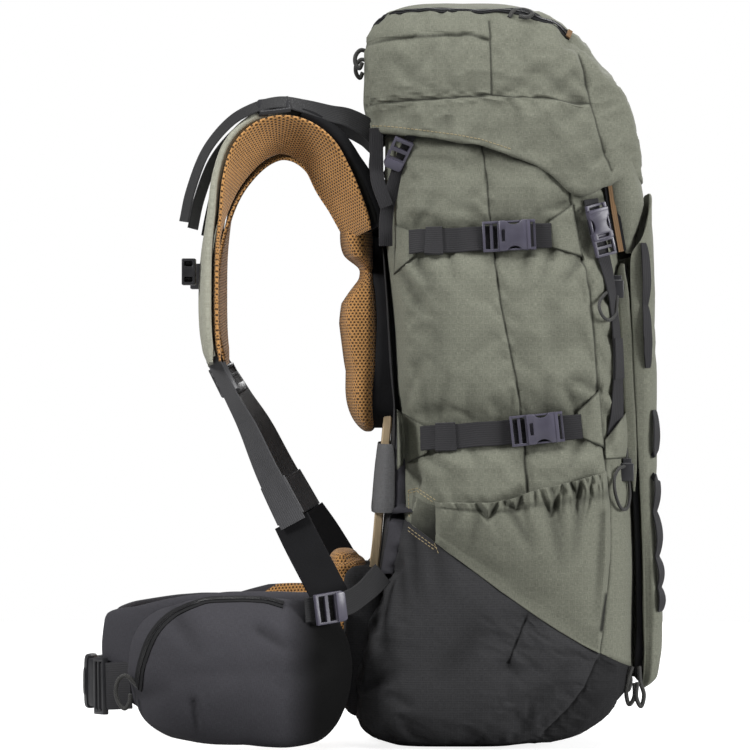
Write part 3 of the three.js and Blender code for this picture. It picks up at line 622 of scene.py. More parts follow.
# the inner wall keeps clear of the deepest folds
inside = eased(body_grid, 4, 4)[::9]
inset = (2.5 + 12.5 * np.sin(np.linspace(0, np.pi, len(inside))) ** 0.4) * MM
bag_body = shell("main_bag", body_grid, drawn_in(inside, inset))

refined(bag_body, bag_seams, 9, 2)

# x and z of a fold's start and end, its width and its depth
bag_folds = (
    (24, 486, 52, 440, 7, 3.2),
    (42, 500, 60, 462, 6, 2.4),
    (75, 503, 82, 470, 7, 1.6),
    (120, 503, 112, 478, 7, 1.5),
    (150, 504, 150, 470, 8, 1.4),
    (178, 508, 166, 470, 7, 2.0),
    (208, 499, 188, 470, 7, 3.0),
    (197, 556, 160, 545, 6, 2.6),
    (176, 537, 150, 552, 7, 1.8),
    (40, 534, 62, 560, 7, 1.8),
    (100, 536, 96, 566, 8, 1.2),
    (26, 345, 44, 392, 6, 2.4),
    (54, 338, 42, 400, 7, 1.8),
    (64, 338, 74, 386, 7, 1.6),
    (92, 336, 98, 372, 8, 1.5),
    (128, 340, 116, 362, 7, 1.8),
    (170, 346, 176, 384, 8, 1.6),
    (204, 345, 190, 376, 7, 2.4),
    (227, 365, 196, 380, 6, 3.0),
    (28, 284, 58, 266, 6, 1.8),
    (54, 299, 80, 280, 7, 1.8),
    (100, 302, 112, 278, 7, 1.6),
    (150, 306, 146, 280, 7, 1.6),
    (206, 316, 196, 286, 7, 2.2),
    (60, 430, 66, 380, 16, 1.2),
    (180, 450, 184, 400, 16, 1.2),
)
flat = seen_from_side(bag_body)
outer = attribute(bag_body, "outer")
sides = facing_side(bag_body)
groove, seam_shade = seam_grooves(flat, bag_seams, 1.3, 1.5)
swell = 2.2 * np.sin(np.pi * ramp(flat[:, 1], 345, 500)) ** 0.8
swell += pinch(flat, upper_pull, 3.2, 15) + pinch(flat, lower_pull, 3.2, 15)
hem = 1.0 * bell(flat[:, 1] - seam_height(flat[:, 0]), 4)
uneven = crumple(bag_body, (0.9, 46, 3), (0.5, 17, 8))
fold, crease = folds(flat, bag_folds)
calm = ramp(flat[:, 1] - seam_height(flat[:, 0]), 0, 14)
pushed(bag_body, outer * (sides * (1.7 * fold + groove + swell) + hem + 0.45 * calm * uneven))
# painted shade: dark bands just beside each compression strap, shade in the folds, and a shade line along
# each seam
beside = np.zeros(len(flat))
for line in (upper_pull, lower_pull):
    beside += 0.22 * bell(away_from(flat, line)[0] - 14, 5)
attribute(bag_body, "dim", np.maximum(0.34 * crease, beside) * sides * outer)
attribute(bag_body, "seam", seam_shade * sides * outer)
lay_weave(bag_body)
dressed(bag_body, olive, "bag_body")

# The base: a dark grey cup of heavier ripstop that takes the wear of the floor.
# It is sewn to the sack along a slanting seam, with a short dart a side and a darker panel at the front.
base_floor = 0.4
base_rows = 96
ground_rows = 12
end_face = 72


def base_height(x, v):
    return base_floor + (seam_height(x) - base_floor) * v**1.35


level = middle_level("bag_base")
base_grid, _ = rings_on(sack_tree, bag_middle, level, base_height, base_rows, bag_columns)
base_grid = eased(base_grid, 24, 8)
dart = ((154, 140), (143.5, 114.5), (134, 90))
panel_seam = ((227, 98), (212, 64), (197, 43), (172, 17))
held = near_lines(base_grid, ((dart, 3), (panel_seam, 3)))
held[:8] = True
held[-1] = True
held |= (base_grid[..., 0] > front_face * MM) | (np.abs(base_grid[..., 1]) < end_face * MM)
base_grid = settled(base_grid, held, slack=0.035, pressure=1.0, cap=7)
bag_tree = tree_of(bag_body)
apart = np.zeros((bag_columns, 3))
for i, (x, y, z) in enumerate(base_grid[-1]):
    hit = from_outside(bag_tree, Vector((bag_middle, 0, z + 3 * MM)), math.atan2(y, x - bag_middle))
    apart[i, :2] = hit.x - x, hit.y - y
base_grid += apart * (np.clip(1 - np.arange(len(base_grid))[::-1] / 14, 0, 1) ** 2)[:, None, None]
base_grid[-1, :, 2] = seam_height(base_grid[-1, :, 0] / MM) * MM
tuck = drawn_in(base_grid[-1:], np.array([4 * MM])) + np.array([0, 0, 3.5 * MM])
base_grid = np.concatenate([base_grid, tuck])
base_centre = np.array([82 * MM, 0, base_floor * MM])
shares = np.linspace(0.03, 1, ground_rows, endpoint=False)
ground = base_centre + (base_grid[0] - base_centre) * shares[:, None, None]
base_grid = np.concatenate([ground, base_grid])
base_grid[: ground_rows + 1, :, 2] = base_floor * MM
inner_rows = [0, ground_rows, 22, 34, 54, 80, len(base_grid) - 1]
inner_base = drawn_in(base_grid[inner_rows], np.array([2.5, 2.5, 4, 6, 8, 7, 2.5]) * MM)
inner_base[:4, :, 2] += (np.array([2.5, 2.5, 2.2, 1.5]) * MM)[:, None]
bag_base = shell("base_cup", base_grid, inner_base, pole="foot")

refined(bag_base, (dart, panel_seam), 9, 2)
base_folds = (
    (-16, 100, 20, 170, 8, 3.0),
    (-18, 120, 4, 186, 5, 2.4),
    (2, 158, 30, 196, 5, 2.4),
    (22, 200, 30, 140, 6, 3.4),
    (38, 214, 42, 150, 6, 3.0),
    (62, 204, 70, 150, 9, 1.2),
    (132, 88, 118, 76, 6, 0.7),
    (136, 86, 148, 78, 7, 0.9),
    (-14, 60, 30, 90, 12, 2.0),
    (100, 120, 60, 70, 22, 1.6),
    (190, 80, 170, 40, 16, 1.2),
)
flat = seen_from_side(bag_base)
outer = attribute(bag_base, "outer") * ramp(flat[:, 1], 3, 17)
outer *= ramp(seam_height(flat[:, 0]) - flat[:, 1], 0, 12)
sides = facing_side(bag_base)
groove, seam_shade = seam_grooves(flat, (dart, panel_seam), 1.4, 1.5)
uneven = crumple(bag_base, (0.9, 55, 5), (0.4, 20, 2))
fold, crease = folds(flat, base_folds)
pushed(bag_base, outer * (sides * (1.6 * fold + groove) + 1.1 * uneven))
# painted shade along the dart and the panel seam and in the folds; beyond the panel seam the base carries a
# darker tone
attribute(bag_base, "seam", seam_shade * sides * outer)
beyond = away_from(flat, panel_seam)[1]
darker = 0.3 * np.clip(beyond / 0.6, 0, 1) * (flat[:, 1] < 106)
attribute(bag_base, "dim", np.maximum(darker, 0.4 * crease * sides * outer))
lay_weave(bag_base)
dressed(bag_base, dark_grey, "bag_base")

# The lid: an olive hood over the mouth of the sack, a rear and a front panel above a long curved skirt.
# A zip runs round its top edge, and a flap at the rear covers a second pocket.
lid_edge = (
    (-12, 631), (37, 624), (106, 614), (167, 593), (197, 571), (215, 558), (232, 560),
    (243, 586), (262, 584), (276, 579),
)
lid_turn = 690
lid_columns = 264
lid_skirt_rows = 46
lid_dome_rows = 60
lid_centre = 105 * MM
lid_level = 650 * MM
lid_middle = Vector((lid_centre, 0, lid_turn * MM))
lid_tree = tree_of(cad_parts["lid"])


def skirt_height(x, v):
    low = height_of(lid_edge, x) + 0.3
    return low + (lid_turn - low) * v * (lid_skirt_rows - 1) / lid_skirt_rows


skirt, lid_angles = rings_on(lid_tree, lid_centre, lid_level, skirt_height, lid_skirt_rows, lid_columns)
dome = np.empty((lid_dome_rows, lid_columns, 3))
for i, angle in enumerate(lid_angles):
    for j, rise in enumerate(np.linspace(0, math.radians(89), lid_dome_rows)):
        way = Vector((math.cos(angle) * math.cos(rise), math.sin(angle) * math.cos(rise), math.sin(rise)))
        dome[j, i] = lid_tree.ray_cast(lid_middle + way, -way)[0]
lid_grid = eased(np.concatenate([skirt, dome]), 20, 12)
belt_seam = ((-20, 656), (-9, 656), (60, 660), (116, 664), (170, 661), (219, 656))
upright_seam = ((116, 741), (118, 664))
front_seam = ((207, 706), (214, 680), (219, 658), (232, 608), (240, 588))
flap_edge = ((-20, 718), (-7, 719), (40, 724), (91, 727), (115, 721))
lid_seams = (belt_seam, upright_seam, front_seam, flap_edge)
held = near_lines(lid_grid, [(line, seam_hold) for line in lid_seams])
held[0] = True
held[-3:] = True
held |= (lid_grid[..., 2] > 752 * MM) | (np.abs(lid_grid[..., 1]) < end_face * MM)
lid_grid = settled(lid_grid, held, slack=0.045, pressure=1.2, cap=6)
lid_inner_rows = [0, 20, 46, 70, 90, 105]
lid_inset = 0.955
middle = np.array(lid_middle)
lid_inside = middle + (lid_grid[lid_inner_rows] - middle) * lid_inset
lid_inside[0] = lid_grid[0] + (lid_inside[0] - lid_grid[0]) * 0.4
lid_inside[0, :, 2] = lid_grid[0, :, 2]
lid = shell("lid_hood", lid_grid, lid_inside, pole="top")

refined(lid, lid_seams, 9, 2)
lid_folds = (
    (20, 700, 50, 668, 8, 1.6),
    (60, 716, 30, 676, 9, 1.4),
    (84, 724, 62, 690, 8, 1.6),
    (0, 640, 30, 655, 7, 1.4),
    (60, 626, 84, 652, 8, 1.5),
    (40, 624, 26, 650, 7, 1.2),
    (110, 614, 140, 650, 12, 1.3),
    (200, 664, 150, 700, 10, 1.8),
    (206, 650, 180, 630, 9, 1.6),
    (214, 676, 196, 690, 7, 1.8),
    (160, 734, 140, 700, 12, 1.2),
    (230, 606, 205, 590, 8, 1.4),
)
flat = seen_from_side(lid)
outer = attribute(lid, "outer")
sides = facing_side(lid)
groove, seam_shade = seam_grooves(flat, lid_seams[:3], 0.9, 1.5)
distance, above, _ = away_from(flat, flap_edge)
over = 0.5 * (1 + np.tanh(above / 1.2))
flap_fold = 2.4 * over * bell(distance, 14) - 1.4 * (1 - over) * bell(distance, 7)
# painted shadow in a thin line under the flap's edge
flap_shadow = 0.7 * bell(above + 0.9, 1.2) * (distance < 6) * (flat[:, 0] < 115)
flap_fold *= flat[:, 0] < 116
lower_edge = height_of(lid_edge, flat[:, 0])
hem = 2.4 * bell(flat[:, 1] - lower_edge, 9)
swell = 2.0 * np.sin(np.pi * ramp(flat[:, 1], 660, 740))
uneven = crumple(lid, (0.9, 44, 7), (0.5, 16, 4))
fold, crease = folds(flat, lid_folds)
pushed(lid, outer * (sides * (1.7 * fold + groove + flap_fold + swell) + hem + 0.5 * uneven))
# painted shade in the lid's folds, along its seams and under the flap's edge
attribute(lid, "dim", 0.25 * crease * sides * outer)
attribute(lid, "seam", np.maximum(seam_shade, flap_shadow) * sides * outer)
lay_weave(lid)
dressed(lid, olive, "lid")
# painted shadow: a dark band on the sack just under the lid's lower edge
flat = seen_from_side(bag_body)
below = height_of(lid_edge, flat[:, 0]) - flat[:, 1]
shade = 0.5 * bell(below - 1.5, 3.5)
attribute(bag_body, "dim", np.maximum(attribute(bag_body, "dim"), shade))

# The front flap: the hood's own olive cloth, which runs down the front and tucks into the front pocket.
# It and the pocket are single sheets of ripstop with turned edges.


def copied(piece, name):
    twin = piece.copy()
    twin.data = piece.data.copy()
    twin.name = name
    bpy.context.scene.collection.objects.link(twin)
    return twin


def chosen(piece):
    """Makes a piece the only selected one, for the operators that follow."""
    bpy.ops.object.select_all(action="DESELECT")
    piece.select_set(True)
    bpy.context.view_layer.objects.active = piece


def softened(name, node, levels):
    """A copy of a solid with its facets rounded away, fine enough to be shaped as cloth."""
    piece = copied(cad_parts[node], name)
    piece.parent = None
    for key in list(piece.keys()):
        del piece[key]
    piece.data.materials.clear()
    chosen(piece)
    bpy.ops.object.mode_set(mode="EDIT")
    bpy.ops.mesh.select_all(action="SELECT")
    bpy.ops.mesh.remove_doubles(threshold=2e-5)
    bpy.ops.mesh.tris_convert_to_quads(face_threshold=1.2, shape_threshold=1.2)
    bpy.ops.object.mode_set(mode="OBJECT")
    smoothing = piece.modifiers.new("rounding", "SUBSURF")
    smoothing.levels = levels
    smoothing.render_levels = levels
    bpy.ops.object.modifier_apply(modifier=smoothing.name)
    attribute(piece, "outer", np.ones(len(piece.data.vertices)))
    piece.data.shade_smooth()
    return piece


lid_flap = softened("front_flap", "lid_flap", 3)
uneven = crumple(lid_flap, (1.2, 40, 6), (0.5, 15, 1))
flush = 9 * ramp(seen_from_side(lid_flap)[:, 1], 520, 556)
pushed(lid_flap, uneven + flush)
lay_weave(lid_flap)
dressed(lid_flap, olive, "lid_flap")

# The front pocket: a tall flat pouch for a jacket, of olive ripstop, open at the top.
# Its sides are folded back and sewn to the gussets.
front_pocket = softened("front_pouch", "front_pocket", 3)
flat = seen_from_side(front_pocket)
front_folds = (
    (285, 560, 272, 500, 7, 1.6),
    (286, 420, 276, 380, 7, 1.2),
    (290, 300, 278, 260, 8, 1.4),
    (290, 200, 280, 150, 8, 1.4),
    (286, 120, 280, 90, 7, 1.6),
)
uneven = crumple(front_pocket, (1.4, 52, 9), (0.5, 18, 3))
foot = 4.5 * ramp(flat[:, 1], 58, 72) * ramp(flat[:, 1], 240, 180)
foot *= np.clip(normals(front_pocket)[:, 0] * 2, 0, 1)
pushed(front_pocket, folds(flat, front_folds)[0] + uneven + foot)
lay_weave(front_pocket)
dressed(front_pocket, olive, "front_pocket")

# The gussets: strips of black cloth, one on each side of the front pocket.
# They are sewn to the sack and to the pocket and close the gap between them.


def plain_cloth(name, colour, roughness=0.9):
    """Closely woven cloth with a faint rib."""
    material, sockets, wire = new_finish(name, roughness, sheen=0.25 * colour[1], gloss=0.15)
    cloud = wire.cloudy(30, 3)
    fine = wire.cloudy(900, 1)
    tone = (cloud - 0.5) * 0.5 + (fine - 0.5) * 0.5 + 1
    return wired(material, sockets, tone.tint(colour), roughness + (fine - 0.5) * 0.2, fine, 0.3, 0.0006)


black = plain_cloth("black_cloth", (0.009, 0.009, 0.010))
SIDES = ("left", "right")


def mirrored(piece):
    """Turns a left piece into its mirror image, for the wearer's right."""
    piece.data.transform(Matrix.Diagonal((1, -1, 1, 1)))
    piece.data.flip_normals()
    return piece


def dressed_pair(piece, finish, *nodes):
    """Dresses a left piece and its twin; node names are given without their side."""
    right = mirrored(copied(piece, piece.name.replace("_left", "_right")))
    dressed(piece, finish, *[n + "_left" for n in nodes])
    dressed(right, finish, *[n + "_right" for n in nodes])
    return piece, right


gusset = softened("gusset_left", "front_gusset_left", 2)
pushed(gusset, crumple(gusset, (0.5, 20, 2)))
for piece in dressed_pair(gusset, black, "front_gusset"):
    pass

# The side pockets: gathered olive pouches for a bottle, sewn into the base seam and the corner seam.
# Elastic in the top hem draws the cloth into ruffles that fan down, closest together at the front.
pocket_rear = 60
pocket_hem = ((60, 252.5), (99, 252.5), (126, 254.6), (143, 259.6), (163, 266.7), (190, 272.8), (236, 284))
pocket_columns = 190
pocket_rows = 104
pocket_above_seam = 0.2
# where each gather starts along the hem, its width, depth and reach down the pocket, and how far it leans
ruffles = (
    (0.05, 0.014, 2.5, 0.24, 0.02),
    (0.12, 0.016, 3.0, 0.24, 0.03),
    (0.20, 0.014, 2.5, 0.20, 0.03),
    (0.315, 0.040, 4.0, 0.42, 0.05),
    (0.40, 0.014, 3.0, 0.20, -0.02),
    (0.475, 0.034, 4.0, 0.36, 0.06),
    (0.57, 0.016, 4.0, 0.24, -0.02),
    (0.66, 0.030, 5.0, 0.40, 0.07),
    (0.735, 0.014, 5.0, 0.24, -0.02),
    (0.785, 0.013, 6.0, 0.26, 0.02),
    (0.83, 0.016, 5.5, 0.26, -0.05),
    (0.872, 0.011, 3.8, 0.17, 0.04),
    (0.912, 0.013, 5.0, 0.28, -0.07),
    (0.947, 0.009, 3.4, 0.15, 0.03),
    (0.974, 0.008, 3.4, 0.20, -0.03),
)
# pointed pleats: where each starts and ends along the hem, and x and z of its lower tip
pleats = (
    (100, 125, 113, 236),
    (127, 149, 141, 245),
    (165, 189, 176, 240),
    (196, 210, 203, 258),
)
# soft folds further down, as for the bag
pocket_folds = (
    (136, 246, 162, 200, 9, 3.0),
    (104, 244, 94, 196, 9, 2.2),
    (178, 244, 190, 180, 11, 3.0),
    (206, 262, 200, 190, 9, 3.0),
    (84, 246, 74, 222, 7, 2.0),
    (229, 240, 222, 130, 6, 2.6),
)

pocket_tree = tree_of(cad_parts["side_pocket_left"])


def from_left(tree, x, z):
    """The point of a solid that shows first from the left at a place seen from the side, and its normal."""
    far_left, side_wall = -0.4, -0.17
    hit, normal, _, _ = tree.ray_cast(Vector((x * MM, far_left, z * MM)), Vector((0, 1, 0)))
    if hit is None:
        hit, normal, _, _ = tree.find_nearest(Vector((x * MM, side_wall, z * MM)))
    return hit, normal


def hem_dip(u):
    """How far the gathers draw the hem down at a place along it."""
    return sum(0.3 * row[2] * math.exp(-(((u - row[0]) / row[1]) ** 2)) for row in ruffles)


pocket_grid = np.empty((pocket_rows, pocket_columns, 3))
for j in range(pocket_rows):
    for i in range(pocket_columns):
        u, v = i / (pocket_columns - 1), j / (pocket_rows - 1)
        dip = hem_dip(u)
        z = 180
        for _ in range(3):
            pocket_front = np.interp(z, *np.array(corner_seam)[::-1, ::-1].T) - 1.5
            x = pocket_rear + 0.3 + u * (pocket_front - pocket_rear)
            low = seam_height(x) + pocket_above_seam
            z = low + v * (height_of(pocket_hem, x) - dip - low)
        hit, _ = from_left(pocket_tree, x, z)
        pocket_grid[j, i] = x * MM, hit.y, z * MM
pocket_grid = eased(pocket_grid, 16, 6, ring=False)
u = np.linspace(0, 1, pocket_columns)[None, :] + np.zeros((pocket_rows, 1))
v = np.linspace(0, 1, pocket_rows)[:, None] + np.zeros((1, pocket_columns))
gather = np.zeros_like(u)
shadow = np.zeros_like(u)
for place, width, depth, reach, lean in ruffles:
    fade = ramp(v, 1 - reach, 1)
    away = u - place - lean * (1 - v) / reach
    spread = width * (0.45 + 0.55 * fade)
    gather -= depth * fade**1.3 * bell(away, spread)
    gather += 0.5 * depth * fade**1.3 * bell(np.abs(away) - 2.1 * spread, spread)
    # painted shade down the valley of each gather
    shadow += 0.075 * depth * fade**0.8 * bell(away, 0.6 * spread)
flat = pocket_grid[..., [0, 2]].reshape(-1, 2) / MM
fold, crease = folds(flat, pocket_folds)
for start, end, tip_x, tip_z in pleats:
    arms = []
    for x in (start, end):
        arms.append(away_from(flat, ((x, height_of(pocket_hem, x) + 1), (tip_x, tip_z)))[:2])
    (rear_away, rear_side), (front_away, front_side) = arms
    near = np.minimum(rear_away, front_away)
    inside = (rear_side > 0) & (front_side < 0)
    tip = np.linalg.norm(flat - (tip_x, tip_z + 5), axis=1)
    # painted shade along the pleat's arms and inside its tip
    dark = 0.25 * bell(near, 2.6) * bell(tip, 16)
    dark += 0.2 * inside * bell(tip, 8)
    fold += 5 * inside * ramp(near, 0, 5) - 5 * bell(near, 2.6)
    shadow += dark.reshape(u.shape)
gather += fold.reshape(u.shape)
gather += 9 * np.sin(np.pi * u) ** 0.5 * np.sin(np.pi / 2 * np.clip(v * 1.4, 0, 1)) ** 1.5
base_tree = tree_of(bag_base)
behind = np.array([[from_left(bag_tree, x / MM, z / MM)[0].y for x, _, z in row] for row in pocket_grid])
for i in range(pocket_columns):
    x = pocket_grid[0, i, 0] / MM
    foot_y = from_left(base_tree, x, seam_height(x) - 2)[0].y
    behind[:16, i] = np.minimum(behind[:16, i], foot_y)
edges = np.clip(np.minimum(u, 1 - u) / 0.03, 0, 1)
ripple = np.sin(2 * math.pi * (u * 20 + 16 * u * u)) * ramp(v, 0.88, 0.96) * (0.2 + 0.5 * u)
hem_line = bell((1 - v) * 75 - 9, 2.2)
pocket_grid[..., 1] = np.minimum(pocket_grid[..., 1], behind - 2 * MM)
pocket_grid = eased(pocket_grid, 12, 12, ring=False)
close = behind - 0.9 * MM
loose = np.minimum(pocket_grid[..., 1] - edges * (gather + ripple - 1.2 * hem_line) * MM, close)
sewn = np.maximum(np.clip(1 - v / 0.14, 0, 1) ** 1.5, 1 - edges)
pocket_grid[..., 1] = loose * (1 - sewn) + close * sewn


def sheet_of(name, grid, wall):
    """A closed sheet of cloth: the grid outside, a copy of it behind, and its four edges."""
    rows, columns = grid.shape[:2]
    behind = grid + np.array([0, wall * MM, 0])
    count = rows * columns
    faces = grid_faces(0, rows, columns, False) + grid_faces(count, rows, columns, False, flip=True)
    rim = list(range(columns))
    rim += [j * columns + columns - 1 for j in range(1, rows)]
    rim += [(rows - 1) * columns + i for i in range(columns - 2, -1, -1)]
    rim += [j * columns for j in range(rows - 2, 0, -1)]
    for a, b in zip(rim, rim[1:] + rim[:1]):
        faces.append((b, a, a + count, b + count))
    return new_piece(name, np.concatenate([grid.reshape(-1, 3), behind.reshape(-1, 3)]), faces)


side_pocket = sheet_of("bottle_pocket_left", pocket_grid, 1.6)
pushed(side_pocket, crumple(side_pocket, (0.9, 24, 5)))
# painted shade: a nearly black crease by the pocket's front edge, a line under the hem, and shade in the soft
# folds
slot_shadow_line = ((234, 158), (229, 124))
slot_shadow = 1.1 * bell(away_from(flat, slot_shadow_line)[0], 2.6)
shadow = np.clip(np.maximum(shadow, 0.3 * hem_line).ravel() + slot_shadow, 0, 0.95)
attribute(side_pocket, "seam", np.tile(shadow, 2))
attribute(side_pocket, "dim", np.tile(0.3 * crease, 2))
lay_weave(side_pocket)
for piece in dressed_pair(side_pocket, olive, "side_pocket"):
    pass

# The strap anchors: five olive tabs a side that hold the strap ends.
# They are wedges of doubled cloth, sewn into the seams of the sack.

# the corners of each tab in x and z
anchors = (
    ((19, 483), (42, 503), (42, 525), (21, 534)),
    ((177, 510), (210, 500), (200, 554), (175, 535)),
    ((22, 285), (54, 302), (54, 327), (22, 346)),
    ((205, 319), (232, 307), (227, 366), (204, 343)),
    ((233, 296), (258, 296), (258.5, 347), (232, 314)),
)
anchor_lift = 3.2
# how far each tab's upper edge stands out further, over the end of a strap
anchor_rises = (0, 0, 0, 0, 6)
anchor_cells = 18


def patch(corners, cells, lift_at):
    """A grid on the sack's left side between four corners, lifted off the cloth at each place."""
    a, b, c, d = np.array(corners, float)
    grid = np.empty((cells, cells, 3))
    for j, v in enumerate(np.linspace(0, 1, cells)):
        for i, u in enumerate(np.linspace(0, 1, cells)):
            x, z = (a * (1 - u) + b * u) * (1 - v) + (d * (1 - u) + c * u) * v
            grid[j, i] = x * MM, from_left(bag_tree, x, z)[0].y - lift_at(u, v) * MM, z * MM
    return grid


def anchor_height(u, v, rise):
    rim = min(u, 1 - u, v, 1 - v)
    return anchor_lift + 0.8 * min(rim * 6, 1) + rise * min(2.2 * v, 1) * min(3 * u, 1 + u)


for number, (corners, rise) in enumerate(zip(anchors, anchor_rises)):
    grid = patch(corners, anchor_cells, lambda u, v: anchor_height(u, v, rise))
    share = np.linspace(0, 1, anchor_cells)
    taut = np.outer(1 - share, grid[0, :, 1]) + np.outer(share, grid[-1, :, 1])
    grid[..., 1] = np.minimum(grid[..., 1], taut)
    tab = sheet_of(f"strap_anchor_{number + 1}_left", eased(grid, 3, 3, ring=False), 3.0)
    away = np.minimum(np.arange(anchor_cells), np.arange(anchor_cells)[::-1])
    # painted shade round the tab's rim, where it is sewn down
    sewn = 0.65 * (np.minimum(away[:, None], away[None, :]) < 1)
    attribute(tab, "seam", np.tile(sewn.ravel(), 2))
    lay_weave(tab)
    dressed_pair(tab, olive)

# The side openings: a way into each bottle pocket from behind, under the pocket's rear hem.
# Each is a window of olive cloth that falls into shade, sewn down round its edge.
opening_corners = ((36.5, 230), (61, 212), (62.5, 248), (38.5, 258))
opening_cells = 20
opening_lift = 2.2
grid = patch(opening_corners, opening_cells, lambda u, v: opening_lift)
opening = sheet_of("side_opening_left", eased(grid, 3, 3, ring=False), 2.6)
u, v = np.meshgrid(np.linspace(0, 1, opening_cells), np.linspace(0, 1, opening_cells))
# painted shade over the whole window, deepest towards its front lower corner
attribute(opening, "dim", np.tile((0.25 + 0.5 * np.clip(u + 0.4 - 0.9 * v, 0, 1)).ravel(), 2))
lay_weave(opening)
dressed_pair(opening, olive)

# The compression straps: grey webbing a side in two rows, each sewn to its anchors and closed by a buckle.
# A keeper band near the rear end holds the loose tail flat.


def smooth_line(rows, count):
    """Points on a smooth line through the rows of a table."""
    rows = np.array(rows, float)
    rows = np.vstack([2 * rows[0] - rows[1], rows, 2 * rows[-1] - rows[-2]])
    share = np.linspace(0, len(rows) - 3, count)
    k = np.minimum(share.astype(int), len(rows) - 4)
    t = (share - k)[:, None]
    a, b, c, d = rows[k], rows[k + 1], rows[k + 2], rows[k + 3]
    square = a - 2.5 * b + 2 * c - 0.5 * d
    cubic = 1.5 * (b - c) + 0.5 * (d - a)
    return b + 0.5 * (c - a) * t + square * t**2 + cubic * t**3


def with_sides(path, face):
    """A strap's way: its path, its sides, and its faces set square to both."""
    run = unit(np.gradient(path, axis=0))
    side = unit(np.cross(run, face))
    return path, side, np.cross(side, run)


def stretch(way, first, last=None):
    """The part of a strap's way between two of its points."""
    return [rows[first:last] for rows in way]


def lifted(way, amount):
    """A strap's way moved out from the cloth."""
    path, side, face = way
    return path + face * amount * MM, side, face


def laid_on(tree, line, lift, settle=8, reach=0):
    """A strap's path on cloth that is seen from the left: its points, sides and outward faces.

    With a reach it lies on the highest cloth under its width and not in the dip that it draws in.
    """
    path = np.empty((len(line), 3))
    face = np.empty((len(line), 3))
    for k, (x, z) in enumerate(line):
        hit, normal = from_left(tree, x, z)
        path[k] = hit
        path[k, 1] = min(from_left(tree, x, z + step)[0].y for step in (-reach, 0, reach))
        face[k] = normal
    face *= -np.sign(face[:, 1:2])
    path, face = eased(path, 0, settle), eased(face, 0, settle)
    return with_sides(path + unit(face) * lift * MM, face)


web_section = ((-1, -0.4), (-0.95, -1), (0.95, -1), (1, -0.4), (1, 0.4), (0.95, 1), (-0.95, 1), (-1, 0.4))


def band(way, width, thick, section=web_section):
    """A strap along a path: its points, its faces, and a map with its width across and its run along."""
    path, side, face = way
    count = len(path)
    section = np.array(section)
    if np.cross(side[0], face[0]) @ (path[1] - path[0]) < 0:
        section = section[::-1]
    sides = len(section)
    wide = np.broadcast_to(width, count) * MM / 2
    deep = np.broadcast_to(thick, count) * MM / 2
    across = section[None, :, 0] * wide[:, None]
    out = section[None, :, 1] * deep[:, None]
    points = path[:, None] + side[:, None] * across[..., None] + face[:, None] * out[..., None]
    faces = grid_faces(0, count, sides, True)
    faces += [list(range(sides))[::-1], list(range((count - 1) * sides, count * sides))]
    run = np.r_[0, np.cumsum(np.linalg.norm(np.diff(path, axis=0), axis=1))]
    weave = np.stack([across, np.repeat(run[:, None], sides, 1)], -1)
    return points.reshape(-1, 3), faces, weave.reshape(-1, 2)


def pillow(corners, power):
    """A section between an ellipse and a box."""
    turn = np.linspace(0, 2 * math.pi, corners, endpoint=False)
    flatten = lambda w: np.sign(w) * np.abs(w) ** (2 / power)
    return np.stack([flatten(np.cos(turn)), flatten(np.sin(turn))], -1)


def joined(name, parts, crease=35):
    """One piece of several bands, with edges sharper than an angle left sharp."""
    points, faces, maps, first = [], [], [], 0
    for part_points, part_faces, part_map in parts:
        points.append(part_points)
        maps.append(part_map)
        faces += [[first + i for i in face] for face in part_faces]
        first += len(part_points)
    piece = new_piece(name, np.concatenate(points), faces)
    vertex = np.empty(len(piece.data.loops), np.int32)
    piece.data.loops.foreach_get("vertex_index", vertex)
    layer = piece.data.uv_layers.new(name="weave")
    layer.data.foreach_set("uv", np.concatenate(maps)[vertex].astype(np.float32).ravel())
    piece.data.set_sharp_from_angle(angle=math.radians(crease))
    return piece


def woven_strap(name, colour, rib=0.0022, depth=0.28):
    """Flat webbing: lengthwise ribs crossed by a slanting weave, a little worn on top."""
    roughness = 0.72
    pick_pitch = 0.0012
    material, sockets, wire = new_finish(name, roughness, sheen=0.1, gloss=0.25)
    u, v = weave_map(wire)
    ribs = u.zigzag(rib) * 2
    slant = (v + ribs * (pick_pitch / 2)).zigzag(pick_pitch) * 2
    wear = wire.cloudy(60, 4)
    tone = (ribs - 0.5) * depth + (slant - 0.5) * 0.35 + (wear - 0.5) * 0.5 + 1
    height = ribs * 0.7 + slant * 0.3
    return wired(material, sockets, tone.tint(colour), roughness + (wear - 0.5) * 0.3, height, 0.5, 0.0005)


webbing = woven_strap("grey_webbing", (0.0175, 0.0170, 0.0190))
compression_width = 25
compression_lift = 3.2
web_thick = 1.8
strap_points = 60
keeper_long = 0.13
# the rear end stands out by this much more, and falls to the cloth over so many points
rear_lift = 2.6
rear_points = 9
# the strap's ends in x and z, and where its keeper starts along it
compression = {
    "upper": ((38, 514.5), (178, 522), 0.11),
    "lower": ((50, 316), (208, 329), 0.085),
}
compression_ways = {}
for name, (rear, front, keeper) in compression.items():
    line = np.linspace(rear, front, strap_points)
    lift = compression_lift + rear_lift * np.clip(1 - np.arange(strap_points) / rear_points, 0, 1)[:, None]
    way = laid_on(bag_tree, line, lift, reach=11)
    compression_ways[name] = way
    first = int(keeper * strap_points)
    ring = stretch(way, first, first + int(keeper_long * strap_points) + 1)
    parts = [band(way, compression_width, web_thick), band(ring, compression_width + 4, 6)]
    strap = joined(f"{name}_compression_strap_left", parts)
    dressed_pair(strap, webbing, f"{name}_strap")

# The side-release buckles: moulded nylon in two halves, a waisted socket and a fork that clicks into it.
# The fork ends in a ladder frame that the webbing is wound round, and the socket has a slot for its end.


